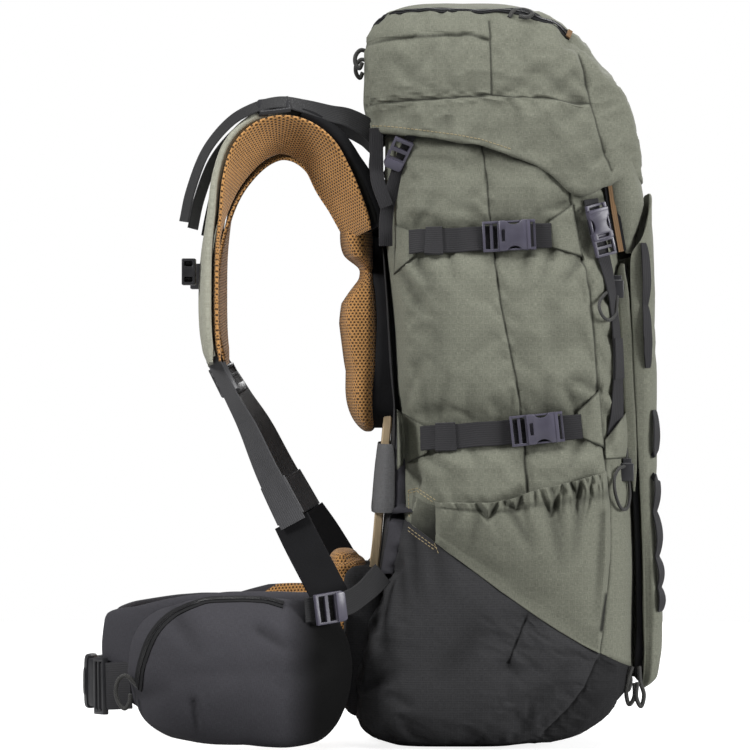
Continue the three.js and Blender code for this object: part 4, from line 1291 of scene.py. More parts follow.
def add_block(x0, x1, y0, y1, z0, z1):
    """A block between two corners, in millimetres, left as the active object."""
    bpy.ops.object.select_all(action="DESELECT")
    bpy.ops.mesh.primitive_cube_add(size=1)
    block = bpy.context.object
    block.data.transform(Matrix.Diagonal((x1 - x0, y1 - y0, z1 - z0, 1)))
    block.data.transform(Matrix.Translation(((x0 + x1) / 2, (y0 + y1) / 2, (z0 + z1) / 2)))
    return block


def combined(piece, tool, operation):
    """Joins or cuts a piece with a second one, which is used up."""
    change = piece.modifiers.new(operation.lower(), "BOOLEAN")
    change.operation = operation
    change.solver = "EXACT"
    change.object = tool
    chosen(piece)
    bpy.ops.object.modifier_apply(modifier=change.name)
    bpy.data.objects.remove(tool)
    return piece


def rounded(piece, size, segments=2, angle=40):
    """Breaks the hard edges of a moulding."""
    change = piece.modifiers.new("edges", "BEVEL")
    change.width = size
    change.segments = segments
    change.limit_method = "ANGLE"
    change.angle_limit = math.radians(angle)
    chosen(piece)
    bpy.ops.object.modifier_apply(modifier=change.name)
    bpy.ops.object.shade_smooth_by_angle(angle=math.radians(30))
    return piece


def add_post(x, y, radius, z0, z1, corners=28):
    """An upright cylinder, in millimetres."""
    bpy.ops.object.select_all(action="DESELECT")
    bpy.ops.mesh.primitive_cylinder_add(vertices=corners, radius=radius, depth=z1 - z0)
    post = bpy.context.object
    post.data.transform(Matrix.Translation((x, y, (z0 + z1) / 2)))
    return post


def release_buckle(width):
    """A closed buckle along x, with its back at z = 0."""
    half = width / 2 + 3
    high = 9
    wall = 2.4
    waist_radius = 9.5
    socket = add_block(-9, 21, -half, half, 0, high)
    for side in (-1, 1):
        combined(socket, add_post(6, side * (half + 5), waist_radius, -1, high + 1), "DIFFERENCE")
    # a groove across the top, and the hollow mouth at the strap's end
    combined(socket, add_block(-6.5, -3.2, -6, 6, 5, 12), "DIFFERENCE")
    combined(socket, add_block(18, 30, wall - half, half - wall, wall, high - wall), "DIFFERENCE")
    rounded(socket, 1.1)
    # a rim round the mouth, with two arms and a bar for the strap
    flange = add_block(19.5, 22.6, 0.4 - half, half - 0.4, -0.2, high + 0.6)
    for side in (-1, 1):
        edge = side * (half - 1.6)
        combined(flange, add_block(21.5, 27.5, edge - 1.4, edge + 1.4, 1.4, 6), "UNION")
    combined(flange, add_block(25.2, 27.5, 1 - half, half - 1, 1.4, 4), "UNION")
    rounded(flange, 0.7)
    # the fork's ladder frame with its cross bar, then its two prongs in the waist
    frame_ring = add_block(-26, -8, -half, half, 1, 6.4)
    combined(frame_ring, add_block(-23.4, -11, 2.6 - half, half - 2.6, -1, 9), "DIFFERENCE")
    combined(frame_ring, add_block(-18.6, -15.4, 1 - half, half - 1, 2, 5), "UNION")
    rounded(frame_ring, 0.9)
    prongs = []
    for side in (-1, 1):
        prong = add_block(-2, 15, -1, 1, 2, 7)
        prong.data.transform(Matrix.Translation((0, side * (half - 1.4), 0)))
        prongs.append(rounded(prong, 0.8))
    chosen(socket)
    for part in (flange, frame_ring, *prongs):
        part.select_set(True)
    bpy.ops.object.join()
    return socket


def moulded(name, colour):
    """Satin nylon with a fine spark-eroded grain, smoother where it is rubbed, and a painted highlight that
    makes its sharp edges paler.
    """
    roughness = 0.42
    material, sockets, wire = new_finish(name, roughness)
    grain = wire.cloudy(1800, 1)
    cloud = wire.cloudy(90, 3)
    # painted highlight: the sharp edges are made paler
    edge = wire.make("ShaderNodeNewGeometry", out="Pointiness").smooth(0.5, 0.6)
    tone = (cloud - 0.5) * 0.3 + (grain - 0.5) * 0.2 + edge * 0.5 + 1
    rubbed = roughness + (cloud - 0.5) * 0.3 - edge * 0.1
    return wired(material, sockets, tone.tint(colour), rubbed, grain, 0.15, 0.0002)


plastic = moulded("moulded_plastic", (0.050, 0.047, 0.066))
black_plastic = moulded("black_plastic", (0.017, 0.017, 0.019))


def put_at(place, axes):
    """The move of a moulding drawn in millimetres to a place, with its own axes turned to three others."""
    turn = Matrix([list(axes[:, r]) + [0] for r in range(3)] + [[0, 0, 0, 1]])
    return Matrix.Translation(place) @ turn @ Matrix.Scale(MM, 4)


def set_on(model, name, node, way):
    """A copy of a moulding with its own mesh, put where a solid is, along the strap that it sits on."""
    path, _, face = way
    corners = coordinates(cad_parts[node])
    k = int(np.argmin(np.linalg.norm(path - corners.mean(0), axis=1)))
    k = min(max(k, 1), len(path) - 2)
    run = unit(path[k + 1] - path[k - 1])
    out = unit(face[k])
    across = np.cross(out, run)
    axes = np.stack([run, across, out])
    spread = corners @ axes.T
    middle = (spread.min(0) + spread.max(0)) / 2
    middle[2] = max(spread[:, 2].min(), path[k] @ out + 0.3 * MM)
    piece = bpy.data.objects.new(name, model.data.copy())
    bpy.context.scene.collection.objects.link(piece)
    piece.data.transform(put_at(axes.T @ middle, axes))
    return piece


def fitted(model, name, node, way, finish):
    """Sets a moulding on its strap on both sides; the model is used up."""
    piece = set_on(model, f"{name}_left", f"{node}_left", way)
    dressed_pair(piece, finish, node)
    bpy.data.objects.remove(model)


for name, way in compression_ways.items():
    fitted(release_buckle(compression_width), f"{name}_release_buckle", f"{name}_buckle", way, plastic)

# The lid straps: webbing a side from the lid's front corner, through a buckle, down the sack's front edge.
# Its lower end is folded back, stitched, and sewn under a triangle of olive cloth.
lid_strap_width = 16
lid_strap_line = (
    (217, 560), (221, 536), (228, 504), (234, 482), (241, 430), (243, 380), (243.5, 345),
    (242, 318),
)
lid_strap_points = 90
fold_start, fold_end = 54, 66
lid_strap_way = laid_on(bag_tree, smooth_line(lid_strap_line, lid_strap_points), 4.0, settle=60)
fold_back = lifted(stretch(lid_strap_way, fold_start, fold_end), 2)
parts = [band(lid_strap_way, lid_strap_width, web_thick), band(fold_back, lid_strap_width, web_thick)]
lid_strap = joined("lid_front_strap_left", parts)
dressed_pair(lid_strap, webbing, "lid_strap")
upward = (lid_strap_way[0][::-1], -lid_strap_way[1][::-1], lid_strap_way[2][::-1])
fitted(release_buckle(lid_strap_width), "lid_release_buckle", "lid_buckle", upward, plastic)

# The front edge: a narrow olive facing a side that half covers the gusset.
# It is a doubled strip of cloth, sewn to the sack beside the lid strap.
edge_rows = ((249, 512), (250, 457), (254, 400), (256, 356), (258, 300), (260, 262))
edge_way = laid_on(tree_of(gusset), smooth_line(edge_rows, strap_points), 2.0, settle=20)
edge_width = np.interp(np.arange(strap_points), (0, 8, 45, 59), (4, 12, 12, 2))
front_edge = joined("front_edge_left", [band(edge_way, edge_width, 2.2, pillow(16, 2.6))], crease=70)
dressed_pair(front_edge, olive)

# The lid's rear straps: narrow webbing a side from under the hood, through a ladder lock, down to the yoke.
# The lock is a moulded frame with two slots and a lip to lift it by. A second arm rises from the yoke.


def ladder_lock(width, long=32, thick=4.5):
    """A ladder lock along x, with its back at z = 0: a frame with two slots and a lifted lip."""
    half = width / 2 + 3
    wall = 2.4
    slots = ((-12, -5.5), (-1.5, 5.5))
    lock = add_block(-long / 2, long / 2, -half, half, 0, thick)
    for start, end in slots:
        combined(lock, add_block(start, end, wall - half, half - wall, -1, thick + 1), "DIFFERENCE")
    lip = add_block(7, long / 2 + 1, 1 - half, half - 1, thick - 1.5, thick + 2.2)
    combined(lock, lip, "UNION")
    for side in (-1, 1):
        corner = add_block(-4, 4, -4, 4, -2, thick + 4)
        corner.data.transform(Matrix.Rotation(math.radians(45), 4, "Z"))
        corner.data.transform(Matrix.Translation((long / 2 + 2.5, side * (half + 1.5), 0)))
        combined(lock, corner, "DIFFERENCE")
    return rounded(lock, 0.9)


def turned_run(rows, count, reference):
    """A path through rows of x, y, z and turn: its points, sides and faces, rolled about its own run."""
    line = smooth_line(np.array(rows, float)[:, :4], count)
    path = line[:, :3] * MM
    run = unit(np.gradient(path, axis=0))
    across = unit(np.array(reference) - run * (run @ np.array(reference))[:, None])
    out = np.cross(run, across)
    turn = np.radians(line[:, 3:])
    side = across * np.cos(turn) - out * np.sin(turn)
    face = out * np.cos(turn) + across * np.sin(turn)
    return path, side, face


rear_strap_width = 14
lid_rear_rows = ((49, 645), (45, 636), (38, 618), (31, 602), (24, 585))
lid_rear_way = laid_on(bag_tree, smooth_line(lid_rear_rows, 40), 3.0)
tail_end = np.array([(17, -119, 568), (13, -119, 553), (11, -119, 534), (11, -118, 512)]) * MM
path = smooth_line(np.vstack([lid_rear_way[0][::8], tail_end]), 70)
lid_rear_way = with_sides(path, (0.2, -1, 0))
yoke_arm_rows = ((1.5, -118, 632, 0), (1.5, -119, 600, 0), (3, -120, 577, 0), (12, -121, 552, 0))
yoke_arm_way = turned_run(yoke_arm_rows, 40, (1.0, 0.0, 0.0))
parts = [band(way, rear_strap_width, web_thick) for way in (lid_rear_way, yoke_arm_way)]
lid_rear_strap = joined("lid_rear_webbing_left", parts)
dressed_pair(lid_rear_strap, webbing, "lid_rear_strap")
fitted(ladder_lock(rear_strap_width), "lid_ladder_lock", "lid_rear_lock", lid_rear_way, plastic)

# The daisy chains: two rows of narrow webbing up the front pocket, for gear.
# They are tacked down at intervals, and the webbing bows out into a loop between two tacks.

# each run's distance from the edge and width, then its tacks' heights and how far each loop below stands out
daisy_runs = (
    (5, 13, ((140, 0), (165, 3), (196, 4), (242, 4), (290, 4), (345, 4))),
    (11, 10, ((388, 0), (452, 5), (515, 5))),
)
daisy_thick = 1.6
pouch_tree = tree_of(front_pocket)
parts = []
for inset, width, tacks in daisy_runs:
    heights = np.linspace(tacks[0][0], tacks[-1][0], int((tacks[-1][0] - tacks[0][0]) / 2))
    path = np.empty((len(heights), 3))
    face = np.empty((len(heights), 3))
    for k, z in enumerate(heights):
        edge = pouch_tree.ray_cast(Vector((0.5, -95 * MM, z * MM)), Vector((-1, 0, 0)))[0]
        path[k], face[k] = from_left(pouch_tree, edge.x / MM - inset, z)
    path, face = eased(path, 0, 12), eased(face, 0, 12)
    face[:, 2] = 0
    face = unit(face)
    stand = np.full(len(heights), daisy_thick)
    waist = np.full(len(heights), 0.6)
    for (low, _), (high, bow) in zip(tacks[:-1], tacks[1:]):
        share = ramp(heights, low, high)
        stand += bow * np.sin(np.pi * share) ** 0.8
        waist += 0.4 * np.sin(np.pi * share) ** 0.5 * (bow > 0)
    way = with_sides(path + face * stand[:, None] * MM, face)
    parts.append(band(way, width * waist, daisy_thick))
daisy = joined("gear_loops_left", parts)
dressed_pair(daisy, webbing, "daisy_chain")

# The back panel: a padded board on the rear of the sack, with a narrow tongue up to the yoke.
# It is foam in dark grey ripstop, sewn round its edge to the sack.
back_panel = softened("back_board", "back_panel", 3)
pushed(back_panel, crumple(back_panel, (0.6, 30, 3)))
lay_weave(back_panel)
dressed(back_panel, dark_grey, "back_panel")


def spacer_mesh(name, thread, hole, pitch):
    """Knitted spacer mesh: rows of open cells, staggered, in a soft thick thread."""
    cell_shape = 1.6
    material, sockets, wire = new_finish(name, 0.9, sheen=0.15, gloss=0.2)
    u, v = weave_map(wire)
    cells = []
    for shift in (0, 0.5):
        a = (u / pitch + shift) % 1 - 0.5
        b = ((v / (pitch * cell_shape) + shift) % 1 - 0.5) * cell_shape
        cells.append(wire.maths("SQRT", a * a + b * b))
    nearest = cells[0].maths("MINIMUM", *cells)
    open_cell = 1 - nearest.smooth(0.16, 0.38)
    fuzz = wire.cloudy(700, 2)
    cloud = wire.cloudy(25, 3)
    tone = (fuzz - 0.5) * 0.6 + (cloud - 0.5) * 0.5 + 1
    shade = open_cell.mixed(tone.tint(thread), (*hole, 1))
    height = (1 - open_cell) + fuzz * 0.2
    return wired(material, sockets, shade, 0.85 + (fuzz - 0.5) * 0.2, height, 0.8, 0.0012)


tan_mesh = spacer_mesh("tan_mesh", (0.43, 0.22, 0.072), (0.060, 0.028, 0.008), 0.0038)

# The back pad: a thick cushion in two lobes against the wearer's back.
# It is soft foam under tan spacer mesh, sewn to the board all round.
back_pad = softened("back_cushion", "back_pad", 3)
made = coordinates(back_pad)
height = made[:, 2] / MM
made[:, 1] *= 1 + 0.75 * ramp(height, 488, 502)
fuller = np.interp(height, (385, 405, 435, 455, 468, 480), (0, 5, 12, 13, 7, 0))
made[:, 0] -= fuller * np.clip(-normals(back_pad)[:, 0], 0, 1) * MM
made[:, 2] += 0.45 * np.clip(height - 506, 0, None) * MM
back_pad.data.vertices.foreach_set("co", made.astype(np.float32).ravel())
pushed(back_pad, crumple(back_pad, (0.8, 35, 2)))
lay_weave(back_pad)
dressed(back_pad, tan_mesh, "back_pad")

# The frame stays: two flat tan bars of pressed composite that stiffen the back.
# A grey cloth sleeve, sewn to the board at mid height, holds both.


def bar_material(name, colour):
    """Pressed composite bar with a faint length grain."""
    roughness = 0.6
    material, sockets, wire = new_finish(name, roughness)
    place = wire.make("ShaderNodeTexCoord", out=3)
    grain = wire.cloudy(1, 3, wire.make("ShaderNodeMapping", {0: place, "Scale": (400, 400, 30)}))
    tone = (grain - 0.5) * 0.5 + 1
    return wired(material, sockets, tone.tint(colour), roughness + (grain - 0.5) * 0.3, grain, 0.2, 0.0003)


beige = bar_material("frame_stay", (0.46, 0.35, 0.215))
ACROSS = (0.0, 1.0, 0.0)
stay_y = -62
stay_width = 20
stay_thick = 9
stay_points = 40
stay_rows = ((13.2, 354), (13, 335), (7.2, 270), (1.6, 205), (-2, 178))
line = smooth_line(stay_rows, stay_points)
path = np.stack([line[:, 0], np.full(stay_points, stay_y), line[:, 1]], -1) * MM
side = np.tile(ACROSS, (stay_points, 1))
face = unit(np.cross(np.gradient(path, axis=0), side))
bar_section = ((-1, -0.7), (-0.85, -1), (0.85, -1), (1, -0.7), (1, 0.7), (0.85, 1), (-0.85, 1), (-1, 0.7))
stay = joined("frame_stay_left", [band((path, side, face), stay_width, stay_thick, bar_section)])
dressed_pair(stay, beige, "stay")
stay_sleeve = softened("stay_band", "stay_sleeve", 3)
pushed(stay_sleeve, crumple(stay_sleeve, (0.6, 18, 4)))
lay_weave(stay_sleeve)
mid_grey = ripstop("sleeve_ripstop", (0.102, 0.102, 0.105), pitch=0.0062, contrast=0.5)
dressed(stay_sleeve, mid_grey, "stay_sleeve")

# The shoulder straps: foam under olive cloth outside, tan mesh against the wearer, bound along both edges.
# They spring from the yoke, arch over the shoulders and taper to the lower lock.

# x, y and z along the strap, its roll in degrees and its width
shoulder_rows = (
    (-163, -113, 392, -4, 44),
    (-168, -109, 427, -7, 56),
    (-169, -104, 468, -7, 62),
    (-167, -100, 509, -4, 64),
    (-161, -96, 545, 2, 65),
    (-152, -93, 579, 14, 65),
    (-138, -90, 606, 26, 65),
    (-119, -88, 624, 32, 65),
    (-97, -86, 631, 34, 65),
    (-74, -84, 626, 36, 65),
    (-54, -83, 610, 38, 64),
    (-41, -82, 586, 40, 63),
    (-29, -81, 564, 36, 62),
    (-18, -80, 540, 32, 60),
    (-12, -80, 526, 28, 56),
)
shoulder_count = 160
shoulder_way = turned_run(shoulder_rows, shoulder_count, ACROSS)
shoulder_wide = smooth_line(np.array(shoulder_rows, float)[:, 4:], shoulder_count)[:, 0]
ends = np.minimum(np.arange(shoulder_count), np.arange(shoulder_count)[::-1]) / shoulder_count
taper = np.clip(ends / 0.03, 0.25, 1) ** 0.5
foam_thick = 11
foam_lift = 4.5
foam_section = pillow(36, 3.2)
mesh_thick = 5.6
mesh_lift = -4.9
foam_parts = [band(lifted(shoulder_way, foam_lift), shoulder_wide, foam_thick * taper, foam_section)]
foam = joined("shoulder_foam_left", foam_parts, crease=70)
strap_olive = ripstop("strap_ripstop", (0.29, 0.288, 0.234), pitch=0.0066, contrast=0.5)
behind_shoulder = 0.92 * ramp(np.arange(shoulder_count), 84, 94)
attribute(foam, "dim", np.repeat(behind_shoulder, len(foam_section)))
pads = dressed_pair(foam, strap_olive, "shoulder_strap")
mesh_way = lifted(shoulder_way, mesh_lift)
mesh_parts = [band(mesh_way, shoulder_wide * 0.985, mesh_thick * taper, pillow(32, 3.4))]
lining = joined("shoulder_lining_left", mesh_parts, crease=70)
pads += dressed_pair(lining, tan_mesh, "shoulder_mesh")

# The load lifters: narrow dark webbing from the frame over each shoulder strap, with a long free tail.
# Each runs through a ladder lock and is stiff enough to stand out from the strap.

# x, y and z along the webbing, and its roll in degrees
lifter_rows = (
    (6, -90, 620, 62),
    (-1, -92, 627, 66),
    (-10, -94, 635, 68),
    (-28, -96, 644, 62),
    (-46, -99, 648, 52),
    (-72, -103, 655, 40),
    (-98, -105, 659, 34),
    (-126, -106, 652, 30),
    (-150, -106, 637, 28),
    (-173, -106, 608, 26),
    (-188, -106, 569, 26),
    (-195, -106, 537, 26),
)
lifter_width = 22
lifter_lock_width = 20
lifter_way = turned_run(lifter_rows, 110, ACROSS)
lifter = joined("lifter_webbing_left", [band(lifter_way, lifter_width, web_thick)])
dark_webbing = woven_strap("dark_webbing", (0.014, 0.014, 0.015))
dressed_pair(lifter, dark_webbing, "load_lifter")
fitted(ladder_lock(lifter_lock_width), "lifter_ladder_lock", "lifter_lock", lifter_way, black_plastic)

# The lower harness: the strap's end carries a ladder lock, and grey webbing runs from it to the belt.
# A wide dark sleeve covers the webbing's lower half.
pale_webbing = woven_strap("pale_webbing", (0.050, 0.050, 0.053))
strap_webbing_rows = (
    (-166, -113, 398, 30),
    (-157, -114, 380, 30),
    (-145, -115, 356, 32),
    (-129, -120, 326, 44),
    (-109, -128, 281, 60),
    (-83, -137, 230, 80),
)
strap_sleeve_rows = ((-85, -130, 233, 80), (-72, -133, 207, 86), (-54, -137, 173, 90), (-43, -140, 152, 92))
# the right side's strap hangs a little further back, by this much at each row
webbing_swing = (0, 4, 7, 9, 11, 13)
sleeve_swing = (13, 18, 20, 14)

adjuster_width = 28
sleeve_width = 38
sleeve_thick = 3


def hung_straps(name, node, rows, swing, width, thick, finish, tab=None):
    """A strap a side that hangs free, doubled along the tab where it is sewn; gives the left one's way."""
    ways = []
    for hand in SIDES:
        placed = np.array(rows, float)
        if hand == "right":
            placed[:, 0] += swing
        ways.append(turned_run(placed, 50, ACROSS))
        parts = [band(ways[-1], width, thick)]
        if tab:
            parts.append(band(lifted(stretch(ways[-1], *tab), 1.2), width + 3, 2 * thick))
        piece = joined(f"{name}_{hand}", parts)
        if hand == "right":
            mirrored(piece)
        dressed(piece, finish, f"{node}_{hand}")
    return ways[0]


webbing_shape = (strap_webbing_rows, webbing_swing, adjuster_width, web_thick)
sleeve_shape = (strap_sleeve_rows, sleeve_swing, sleeve_width, sleeve_thick)
adjuster_way = hung_straps("adjuster_webbing", "strap_webbing", *webbing_shape, pale_webbing, tab=(41, 49))
hung_straps("adjuster_sleeve", "strap_sleeve", *sleeve_shape, black)
fitted(ladder_lock(adjuster_width), "strap_ladder_lock", "strap_lock", adjuster_way, black_plastic)

# The lumbar pad and hip wings: soft foam under tan mesh at the small of the back and round both hips.
# Outside the wings have dark cloth, and a dark grey block on the sack fills the shaded gap behind the pad,
# standing in for the shade there.
lumbar = softened("lumbar_cushion", "lumbar_pad", 3)
lumbar_folds = ((-50, 186, -10, 194, 4, 4.0), (-48, 172, -22, 180, 5, 2.0))
made = coordinates(lumbar)
x, z = seen_from_side(lumbar).T
made[:, 0] -= 9 * MM * ramp(z, 155, 175) * ramp(x, -8, -20)
made[:, 2] -= 6 * MM * ramp(z, 175, 200)
placed_at(lumbar, made)
pushed(lumbar, folds(seen_from_side(lumbar), lumbar_folds)[0] + crumple(lumbar, (0.8, 35, 6)))
lay_weave(lumbar)
dressed(lumbar, tan_mesh, "lumbar_pad")
wing = softened("wing_pad_left", "hip_wing_left", 2)
pushed(wing, crumple(wing, (0.6, 30, 7)))
lay_weave(wing)
wing_lining = copied(wing, "wing_lining_left")
inward = unit(np.array([-0.11, 0, 0.1]) - coordinates(wing_lining))
x, z = seen_from_side(wing_lining).T
places = np.linspace(x.min(), x.max(), 24)
tops = [z[np.abs(x - place) < 8].max() for place in places]
below = np.interp(x, places, tops) - np.interp(x, (-130, -100), (10, -6)) - z
shows = 4.4 * np.clip(below / 5, 0, 1) - 2.5
pushed(wing_lining, np.where((normals(wing_lining) * inward).sum(1) > 0.1, shows, -2.5))
belt_colour = (0.041, 0.040, 0.046)
belt_grey = ripstop("belt_ripstop", belt_colour, pitch=0.005, contrast=0.45, checked=0.2)
wing_pieces = dressed_pair(wing, belt_grey, "hip_wing")
wing_pieces += dressed_pair(wing_lining, tan_mesh)
# how much higher or lower each wing's upper edge hangs, at five places along x
wing_places = (-245, -190, -150, -115, -60)
wing_rises = {"left": (-4, 4, 5, 5, 4), "right": (-9, -9, -12, -3, 1)}
for piece in wing_pieces:
    made = coordinates(piece)
    x, z = seen_from_side(piece).T
    rise = np.interp(x, wing_places, wing_rises[piece.name.rsplit("_", 1)[1]])
    made[:, 2] += rise * MM * ramp(z, 105, 145) * ramp(x, -45, -65)
    placed_at(piece, made)

# a dark grey block behind the lumbar pad that fills the shaded gap there and stands in for its shade
shaded_gap_block = add_block(-32, 7, -88, 88, 30, 184)
rounded(shaded_gap_block, 15, 6)
shaded_gap_block.data.transform(Matrix.Scale(MM, 4))
shaded_gap_block.name = "belt_tunnel"
lay_weave(shaded_gap_block)
dressed(shaded_gap_block, dark_grey)

# The hip pockets: zipped pouches of dark cloth on the wings, filled, with a dart at the bottom.
# They are sewn to the wings along the lower edge, and the right one hangs a little lower.
hip_pocket = softened("hip_pouch_left", "hip_pocket_left", 3)
flat = seen_from_side(hip_pocket)
sag = 9 * ramp(flat[:, 0], -130, -60) * ramp(flat[:, 1], 70, 25)
made = coordinates(hip_pocket)
made[:, 2] -= sag * MM
hip_pocket.data.vertices.foreach_set("co", made.astype(np.float32).ravel())
hip_folds = (
    (-115, 125, -75, 100, 7, 2.0),
    (-180, 55, -177, 20, 4, 2.0),
    (-60, 90, -100, 70, 12, 1.6),
    (-240, 60, -200, 70, 12, 1.6),
    (-200, 140, -170, 100, 12, 1.6),
)
fold, crease = folds(flat, hip_folds)
# painted shade: the pocket's end towards the pack, turned away from the lights, is darkened almost to black,
# and its folds carry painted shade
shade = 0.92 * ramp(flat[:, 0], -92, -58)
attribute(hip_pocket, "dim", np.maximum(shade, 0.4 * crease))
pushed(hip_pocket, 3.6 + 1.5 * fold + crumple(hip_pocket, (1.2, 45, 1), (0.5, 18, 5)))
lay_weave(hip_pocket)
_, far_pocket = dressed_pair(hip_pocket, belt_grey, "hip_pocket")


def slackened(piece):
    """Lets the top of the right pocket hang lower than the left one's."""
    made = coordinates(piece)
    x, z = seen_from_side(piece).T
    made[:, 2] -= 13 * MM * ramp(z, 95, 145) * ramp(x, -75, -100)
    placed_at(piece, made)


slackened(far_pocket)

# The stabiliser straps: dark webbing from each hip pocket to the foot of the sack.
# A moulded ladder lock on each draws the belt in.
UP = (0.0, 0.0, 1.0)
stabiliser_width = 25
stabiliser_rows = (
    (-70, -186, 145, 0),
    (-48, -176, 147, 0),
    (-26, -162, 152, 0),
    (-8, -144, 164, 0),
    (8, -136, 180, 0),
)
stabiliser_way = turned_run(stabiliser_rows, 60, UP)
stabiliser = joined("stabiliser_webbing_left", [band(stabiliser_way, stabiliser_width, web_thick)])
dressed_pair(stabiliser, dark_webbing, "stabiliser_strap")
fitted(ladder_lock(stabiliser_width), "stabiliser_ladder_lock", "stabiliser_lock", stabiliser_way, plastic)

# The belt closure: broad grey webbing from each wing through a slide to the big front buckle.
# Slides and buckle are black moulded nylon, and the buckle is a bowed bar in five stretches with two catches.
hip_web_rows = (
    (-248, -130, 66, 0),
    (-270, -117, 64, 0),
    (-282, -98, 63, 0),
    (-287, -78, 62, 0),
    (-285, -60, 62, 0),
    (-280.8, -44, 62, 0),
)
belt_width = 48
belt_thick = 2
hip_way = turned_run(hip_web_rows, 60, UP)
hip_webbing = joined("belt_webbing_left", [band(hip_way, belt_width, belt_thick)])
dressed_pair(hip_webbing, webbing, "hip_webbing")

# the slide, and where it sits along the webbing
slide_place = 0.36
slide_slots = ((-9.5, -2), (2, 8))
slide = add_block(-13, 13, -29, 29, -3.2, 3.2)
for start, end in slide_slots:
    combined(slide, add_block(start, end, -24.8, 24.8, -6, 6), "DIFFERENCE")
rounded(slide, 1.2)
k = int(slide_place * len(hip_way[0]))
run = unit(hip_way[0][k + 1] - hip_way[0][k - 1])
out = hip_way[2][k]
axes = np.stack([run, np.cross(out, run), out])
slide.name = "belt_slide_left"
slide.data.transform(put_at(hip_way[0][k], axes))
dressed_pair(slide, black_plastic)

# the buckle, bowed about an upright line
arc_middle = np.array([-241, 0, 61.5]) * MM
bar_radius = 58
catch_radius = 62.2
bar_shape = pillow(28, 5)
catch_shape = pillow(24, 3)
# start, end and number of points of the sweep in degrees, then radius, height, thickness and section
arcs = (
    (-47, -42, 6, bar_radius, 57, 10, bar_shape),
    (-41.4, -20.5, 10, bar_radius, 50, 7.5, bar_shape),
    (-20, 20, 20, bar_radius, 55, 10, bar_shape),
    (20.5, 41.4, 10, bar_radius, 50, 7.5, bar_shape),
    (42, 47, 6, bar_radius, 57, 10, bar_shape),
    (-8, -18, 8, catch_radius, 30, 4, catch_shape),
    (8, 18, 8, catch_radius, 30, 4, catch_shape),
)
arc_parts = []
for start, end, count, radius, high, thick, section in arcs:
    sweep = np.radians(np.linspace(start, end, count))
    face = np.stack([-np.cos(sweep), np.sin(sweep), np.zeros(count)], -1)
    path = arc_middle + face * radius * MM
    arc_parts.append(band((path, np.tile(UP, (count, 1)), face), high, thick, section))
hip_buckle = joined("belt_buckle", arc_parts, crease=40)
dressed(hip_buckle, black_plastic, "hip_buckle")

# The sternum sliders: small black moulded clips, one on each shoulder strap.
# They ride on a rail of black piping that is sewn down the strap.
low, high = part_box("sternum_slider_left")
(x0, y0, z0), (x1, y1, z1) = np.array(low) / MM, np.array(high) / MM
slider = add_block(x0, x1, y0, y1, z0, z1)
for start, end in ((z0 + 3, z0 + 8), (z1 - 8, z1 - 3)):
    combined(slider, add_block(x0 + 3, x1 - 3, y0 - 2, y0 + 0.4 * (y1 - y0), start, end), "DIFFERENCE")
rounded(slider, 1.1)
slider.data.transform(Matrix.Scale(MM, 4))
slider.name = "sternum_clip_left"
dressed_pair(slider, black_plastic, "sternum_slider")
rail_start, rail_end = 38, 84
rail_width = 7
rail_thick = 3.2
rail_way = lifted(stretch(shoulder_way, rail_start, rail_end), foam_lift + foam_thick / 2 + 0.8)
rail = joined("sternum_rail_left", [band(rail_way, rail_width, rail_thick, pillow(16, 2.5))], crease=70)
dressed_pair(rail, black)

# The yoke: the padded wrap round the upper end of each strap that ties it to the frame.
# It is black cloth over foam, thicker towards the back.
yoke_start = 98
yoke_points = np.arange(yoke_start, shoulder_count)
yoke_thick = np.interp(yoke_points, (yoke_start, 112, 150, 159), (13.2, 17, 34, 26))
yoke_lift = (foam_lift - 6.6 + yoke_thick / 2)[:, None]
yoke_way = lifted(stretch(shoulder_way, yoke_start), yoke_lift)
yoke_band = band(yoke_way, shoulder_wide[yoke_start:] + 3, yoke_thick, foam_section)
yoke = joined("yoke_wrap_left", [yoke_band], crease=70)
for piece in dressed_pair(yoke, black):
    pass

# The back gussets: grey cloth a side that closes the gap between the back board and the sack.
# Each is one stretched sheet, sewn to the board's edge and to the sack.
gusset_heights = np.linspace(178, 334, 40)
gusset_shares = np.linspace(0, 1, 10)
panel_tree = tree_of(back_panel)


def board_face(y, z):
    """The x of the board's face towards the wearer, in metres."""
    return panel_tree.ray_cast(Vector((-0.3, y * MM, z * MM)), Vector((1, 0, 0)))[0].x


grid = np.empty((len(gusset_heights), len(gusset_shares), 3))
for j, z in enumerate(gusset_heights):
    start = Vector((board_face(-78, z) + 2 * MM, -97 * MM, z * MM))
    rim = np.interp(z, (178, 240, 318, 345, 496), (19, 32, 31, 20, 17))
    end, _ = from_left(bag_tree if z > 244 else base_tree, rim, z)
    end = Vector((end.x, end.y + 2.5 * MM, z * MM))
    for i, share in enumerate(gusset_shares):
        grid[j, i] = start.lerp(end, share)
    grid[j, :, 1] -= 3 * MM * np.sin(np.pi * gusset_shares) + 0.8 * MM * math.sin(z / 9)
back_gusset = sheet_of("back_gusset_left", grid, 1.5)
pushed(back_gusset, crumple(back_gusset, (0.7, 22, 3)))
lay_weave(back_gusset)
for piece in dressed_pair(back_gusset, belt_grey):
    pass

# The pad's edge: a wall of black cloth down each side of the back pad.
# It is stretched from the pad's tan face to the board and sewn to both.
edge_heights = np.linspace(326, 546, 74)
edge_shares = np.linspace(0, 1, 8)
pad_tree = tree_of(back_pad)
grid = np.empty((len(edge_heights), len(edge_shares), 3))
